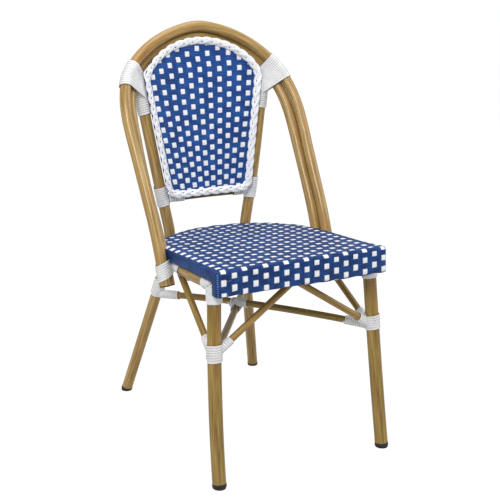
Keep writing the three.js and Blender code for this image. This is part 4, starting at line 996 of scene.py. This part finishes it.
# Which solid each binding stands for. Below, a sleeve is given where it starts, as a
# distance along its tube or the height there, then its length, turns and slack. What is
# wound is given its turns, its slack and at times its width, and near is given a reach.
binding_nodes = {
    "shoulder": "winding_shoulder", "neck": "winding_neck", "waist": "winding_waist",
    "leg_top": "binding_leg_top", "knee": "binding_front_knot", "rear_leg": "binding_rear_knot",
    "arm_end": "binding_hoop_end", "back_rail_end": "binding_rail_end",
}
for side, hand in ((-1, "left"), (1, "right")):
    out = Vector((side, 0, 0))
    outer, inner = arm("outer", side), arm("inner", side)
    post, leg = uprights[hand], legs[hand]
    rail = side_rails[hand]
    works = {name: bmesh.new() for name in binding_nodes}

    start = rise_to(outer, 793)
    spine = stretch(outer, start, start + 62)
    beyond = post + [post[-1] + (post[-1] - post[-2]).normalized() * 0.012]
    top = rise_to(beyond, 700)
    gathered = [(near(outer, spine[0], 90), HOOP_TUBE), (near(inner, spine[0], 110), HOOP_TUBE),
                (stretch(beyond, top, top + 90), UPRIGHT_TUBE)]
    wind(works["shoulder"], gathered, spine, 12.5, out, 1.0, 5.3)
    down = post[::-1]
    sleeve(works["neck"], down, UPRIGHT_TUBE, rise_to(down, 738), 58, 11.5, out, 0.7)
    sleeve(works["waist"], down, UPRIGHT_TUBE, rise_to(down, 519), 46, 9.5, out, 0.7)
    from_end = back_rail if side < 0 else back_rail[::-1]
    sleeve(works["back_rail_end"], from_end, BACK_RAIL_TUBE, 12, 38, 7.5, Vector((0, -1, 0)), 0.5)

    sleeve(works["leg_top"], leg, LEG_TUBE, rise_to(leg, 370), 44, 9.0, out, 0.5)
    sleeve(works["leg_top"], rail, SIDE_RAIL_TUBE, 4, 32, 6.5, out, 0.5)
    tied = straight(rise_point(leg, 384), rail[6], 4)
    wind(works["leg_top"], [(leg, LEG_TUBE), (rail[:20], SIDE_RAIL_TUBE)], tied, 5.0, out, 0.9)

    knee_low = rise_to(leg, 254 if side < 0 else 258)
    to_front = stretchers["lower" if side < 0 else "upper"][::-1]
    sleeve(works["knee"], leg, LEG_TUBE, knee_low, 33, 6.5, out)
    sleeve(works["knee"], side_braces[hand], BRACE_TUBE, 12, 46, 9.5, out)
    sleeve(works["knee"], front_braces[hand], BRACE_TUBE, 12, 32, 6.5, out)
    sleeve(works["knee"], to_front, STRETCHER_TUBE, 12, 50, 10.5, out)

    to_rear = stretchers["upper" if side < 0 else "lower"]
    sleeve(works["rear_leg"], post, UPRIGHT_TUBE, rise_to(post, 257), 41, 8.5, out)
    sleeve(works["rear_leg"], to_rear, STRETCHER_TUBE, 11, 51, 10.5, out)

    start = rise_to(outer, 402)
    spine = stretch(outer, start, start + 34)
    pair = [(near(outer, spine[0], 80), HOOP_TUBE), (near(inner, spine[0], 90), HOOP_TUBE)]
    wind(works["arm_end"], pair, spine, 7.0, out, 0.8, tilt=Vector((-side * 0.35, 0, 0)))
    beside = min(range(len(rail)), key=lambda i: (rail[i] - spine[0]).length)
    wind(works["arm_end"], [(rail[beside - 14:beside + 16], SIDE_RAIL_TUBE)],
         rail[beside - 9:beside + 7], 13.0, out, 0.5)

    for name, bm in works.items():
        finished(f"binding_{name}_{hand}_wound", bm, binding_strand,
                 [f"{binding_nodes[name]}_{hand}"], 60)

bm = bmesh.new()
crossing = [(stretchers["upper"], STRETCHER_TUBE), (stretchers["lower"], STRETCHER_TUBE)]
middle = straight(mm(0, 20, 261.6), mm(0, 38, 261.6), 3)
wind(bm, crossing, middle, 3.5, Vector((1, 0, 0)), 0.7)
sleeve(bm, stretchers["upper"], STRETCHER_TUBE, 214, 26, 5.5, Vector((0, 0, 1)))
finished("binding_cross_wound", bm, binding_strand, ["binding_cross"], 60)


# Studio. A white floor that runs out into a white surround, three large soft
# lamps, and the camera where the photograph was taken from.
FLOOR_GLOW = 1.14        # what the camera sees of the floor, over most of its own shade
FLOOR_GLOW_SHARE = 0.82
SURROUND_LIGHT = 0.55
FOCAL_LENGTH, PICTURE = 1018.0, 500.0    # both in pixels
SENSOR = 36.0

bm = bmesh.new()
bmesh.ops.create_grid(bm, x_segments=1, y_segments=1, size=12)
ground = bpy.data.meshes.new("floor")
bm.to_mesh(ground)
bm.free()
floor = bpy.data.objects.new("floor", ground)
bpy.context.scene.collection.objects.link(floor)
material, tree = blank("white_seamless_paper")
matt = add(tree, "ShaderNodeBsdfDiffuse", {"Color": shade("D2D2D2")})
glow = add(tree, "ShaderNodeEmission", {"Color": (1, 1, 1, 1), "Strength": FLOOR_GLOW})
path = add(tree, "ShaderNodeLightPath")
seen = add(tree, "ShaderNodeMath", {"operation": "MULTIPLY", 1: FLOOR_GLOW_SHARE},
           {0: path.outputs["Is Camera Ray"]})
mixed = add(tree, "ShaderNodeMixShader", links={0: seen.outputs[0], 1: matt.outputs[0],
                                                2: glow.outputs[0]})
outlet(tree, mixed)
ground.materials.append(material)

world = bpy.data.worlds.new("white_surround")
bpy.context.scene.world = world
world.use_nodes = True
tree = world.node_tree
tree.nodes.clear()
path = add(tree, "ShaderNodeLightPath")
either = add(tree, "ShaderNodeMath", {"operation": "MAXIMUM"},
             {0: path.outputs["Is Camera Ray"], 1: path.outputs["Is Transmission Ray"]})
white = add(tree, "ShaderNodeBackground", {"Color": (1, 1, 1, 1), "Strength": 1.0})
soft = add(tree, "ShaderNodeBackground", {"Color": (1, 1, 1, 1), "Strength": SURROUND_LIGHT})
mixed = add(tree, "ShaderNodeMixShader", links={0: either.outputs[0], 1: soft.outputs[0],
                                                2: white.outputs[0]})
add(tree, "ShaderNodeOutputWorld", links={"Surface": mixed.outputs[0]})


def soft_lamp(name, place, aim, wide, tall, watts):
    data = bpy.data.lights.new(name, "AREA")
    data.shape, data.size, data.size_y, data.energy = "RECTANGLE", wide, tall, watts
    lamp = bpy.data.objects.new(name, data)
    bpy.context.scene.collection.objects.link(lamp)
    lamp.location = place
    lamp.rotation_euler = (Vector(aim) - Vector(place)).to_track_quat("-Z", "Y").to_euler()


soft_lamp("lamp_front_left", (-1.4, -1.5, 2.5), (0, 0, 0.6), 0.4, 1.2, 35)
soft_lamp("lamp_right", (3.0, -1.2, 2.3), (0, 0, 0.5), 0.6, 2.0, 26)
soft_lamp("lamp_above", (0.2, 0.2, 3.4), (0, 0, 0.4), 2.0, 2.0, 34)

camera = bpy.data.cameras.new("camera")
camera.sensor_width, camera.lens = SENSOR, FOCAL_LENGTH / PICTURE * SENSOR
eye = bpy.data.objects.new("camera", camera)
bpy.context.scene.collection.objects.link(eye)
eye.location = (-1.0018, -1.9075, 0.9845)
eye.rotation_euler = Vector((0.4556, 0.8504, -0.2632)).to_track_quat("-Z", "Y").to_euler()
camera.clip_end = 60
bpy.context.scene.camera = eye
bpy.context.scene.view_settings.view_transform = "Standard"
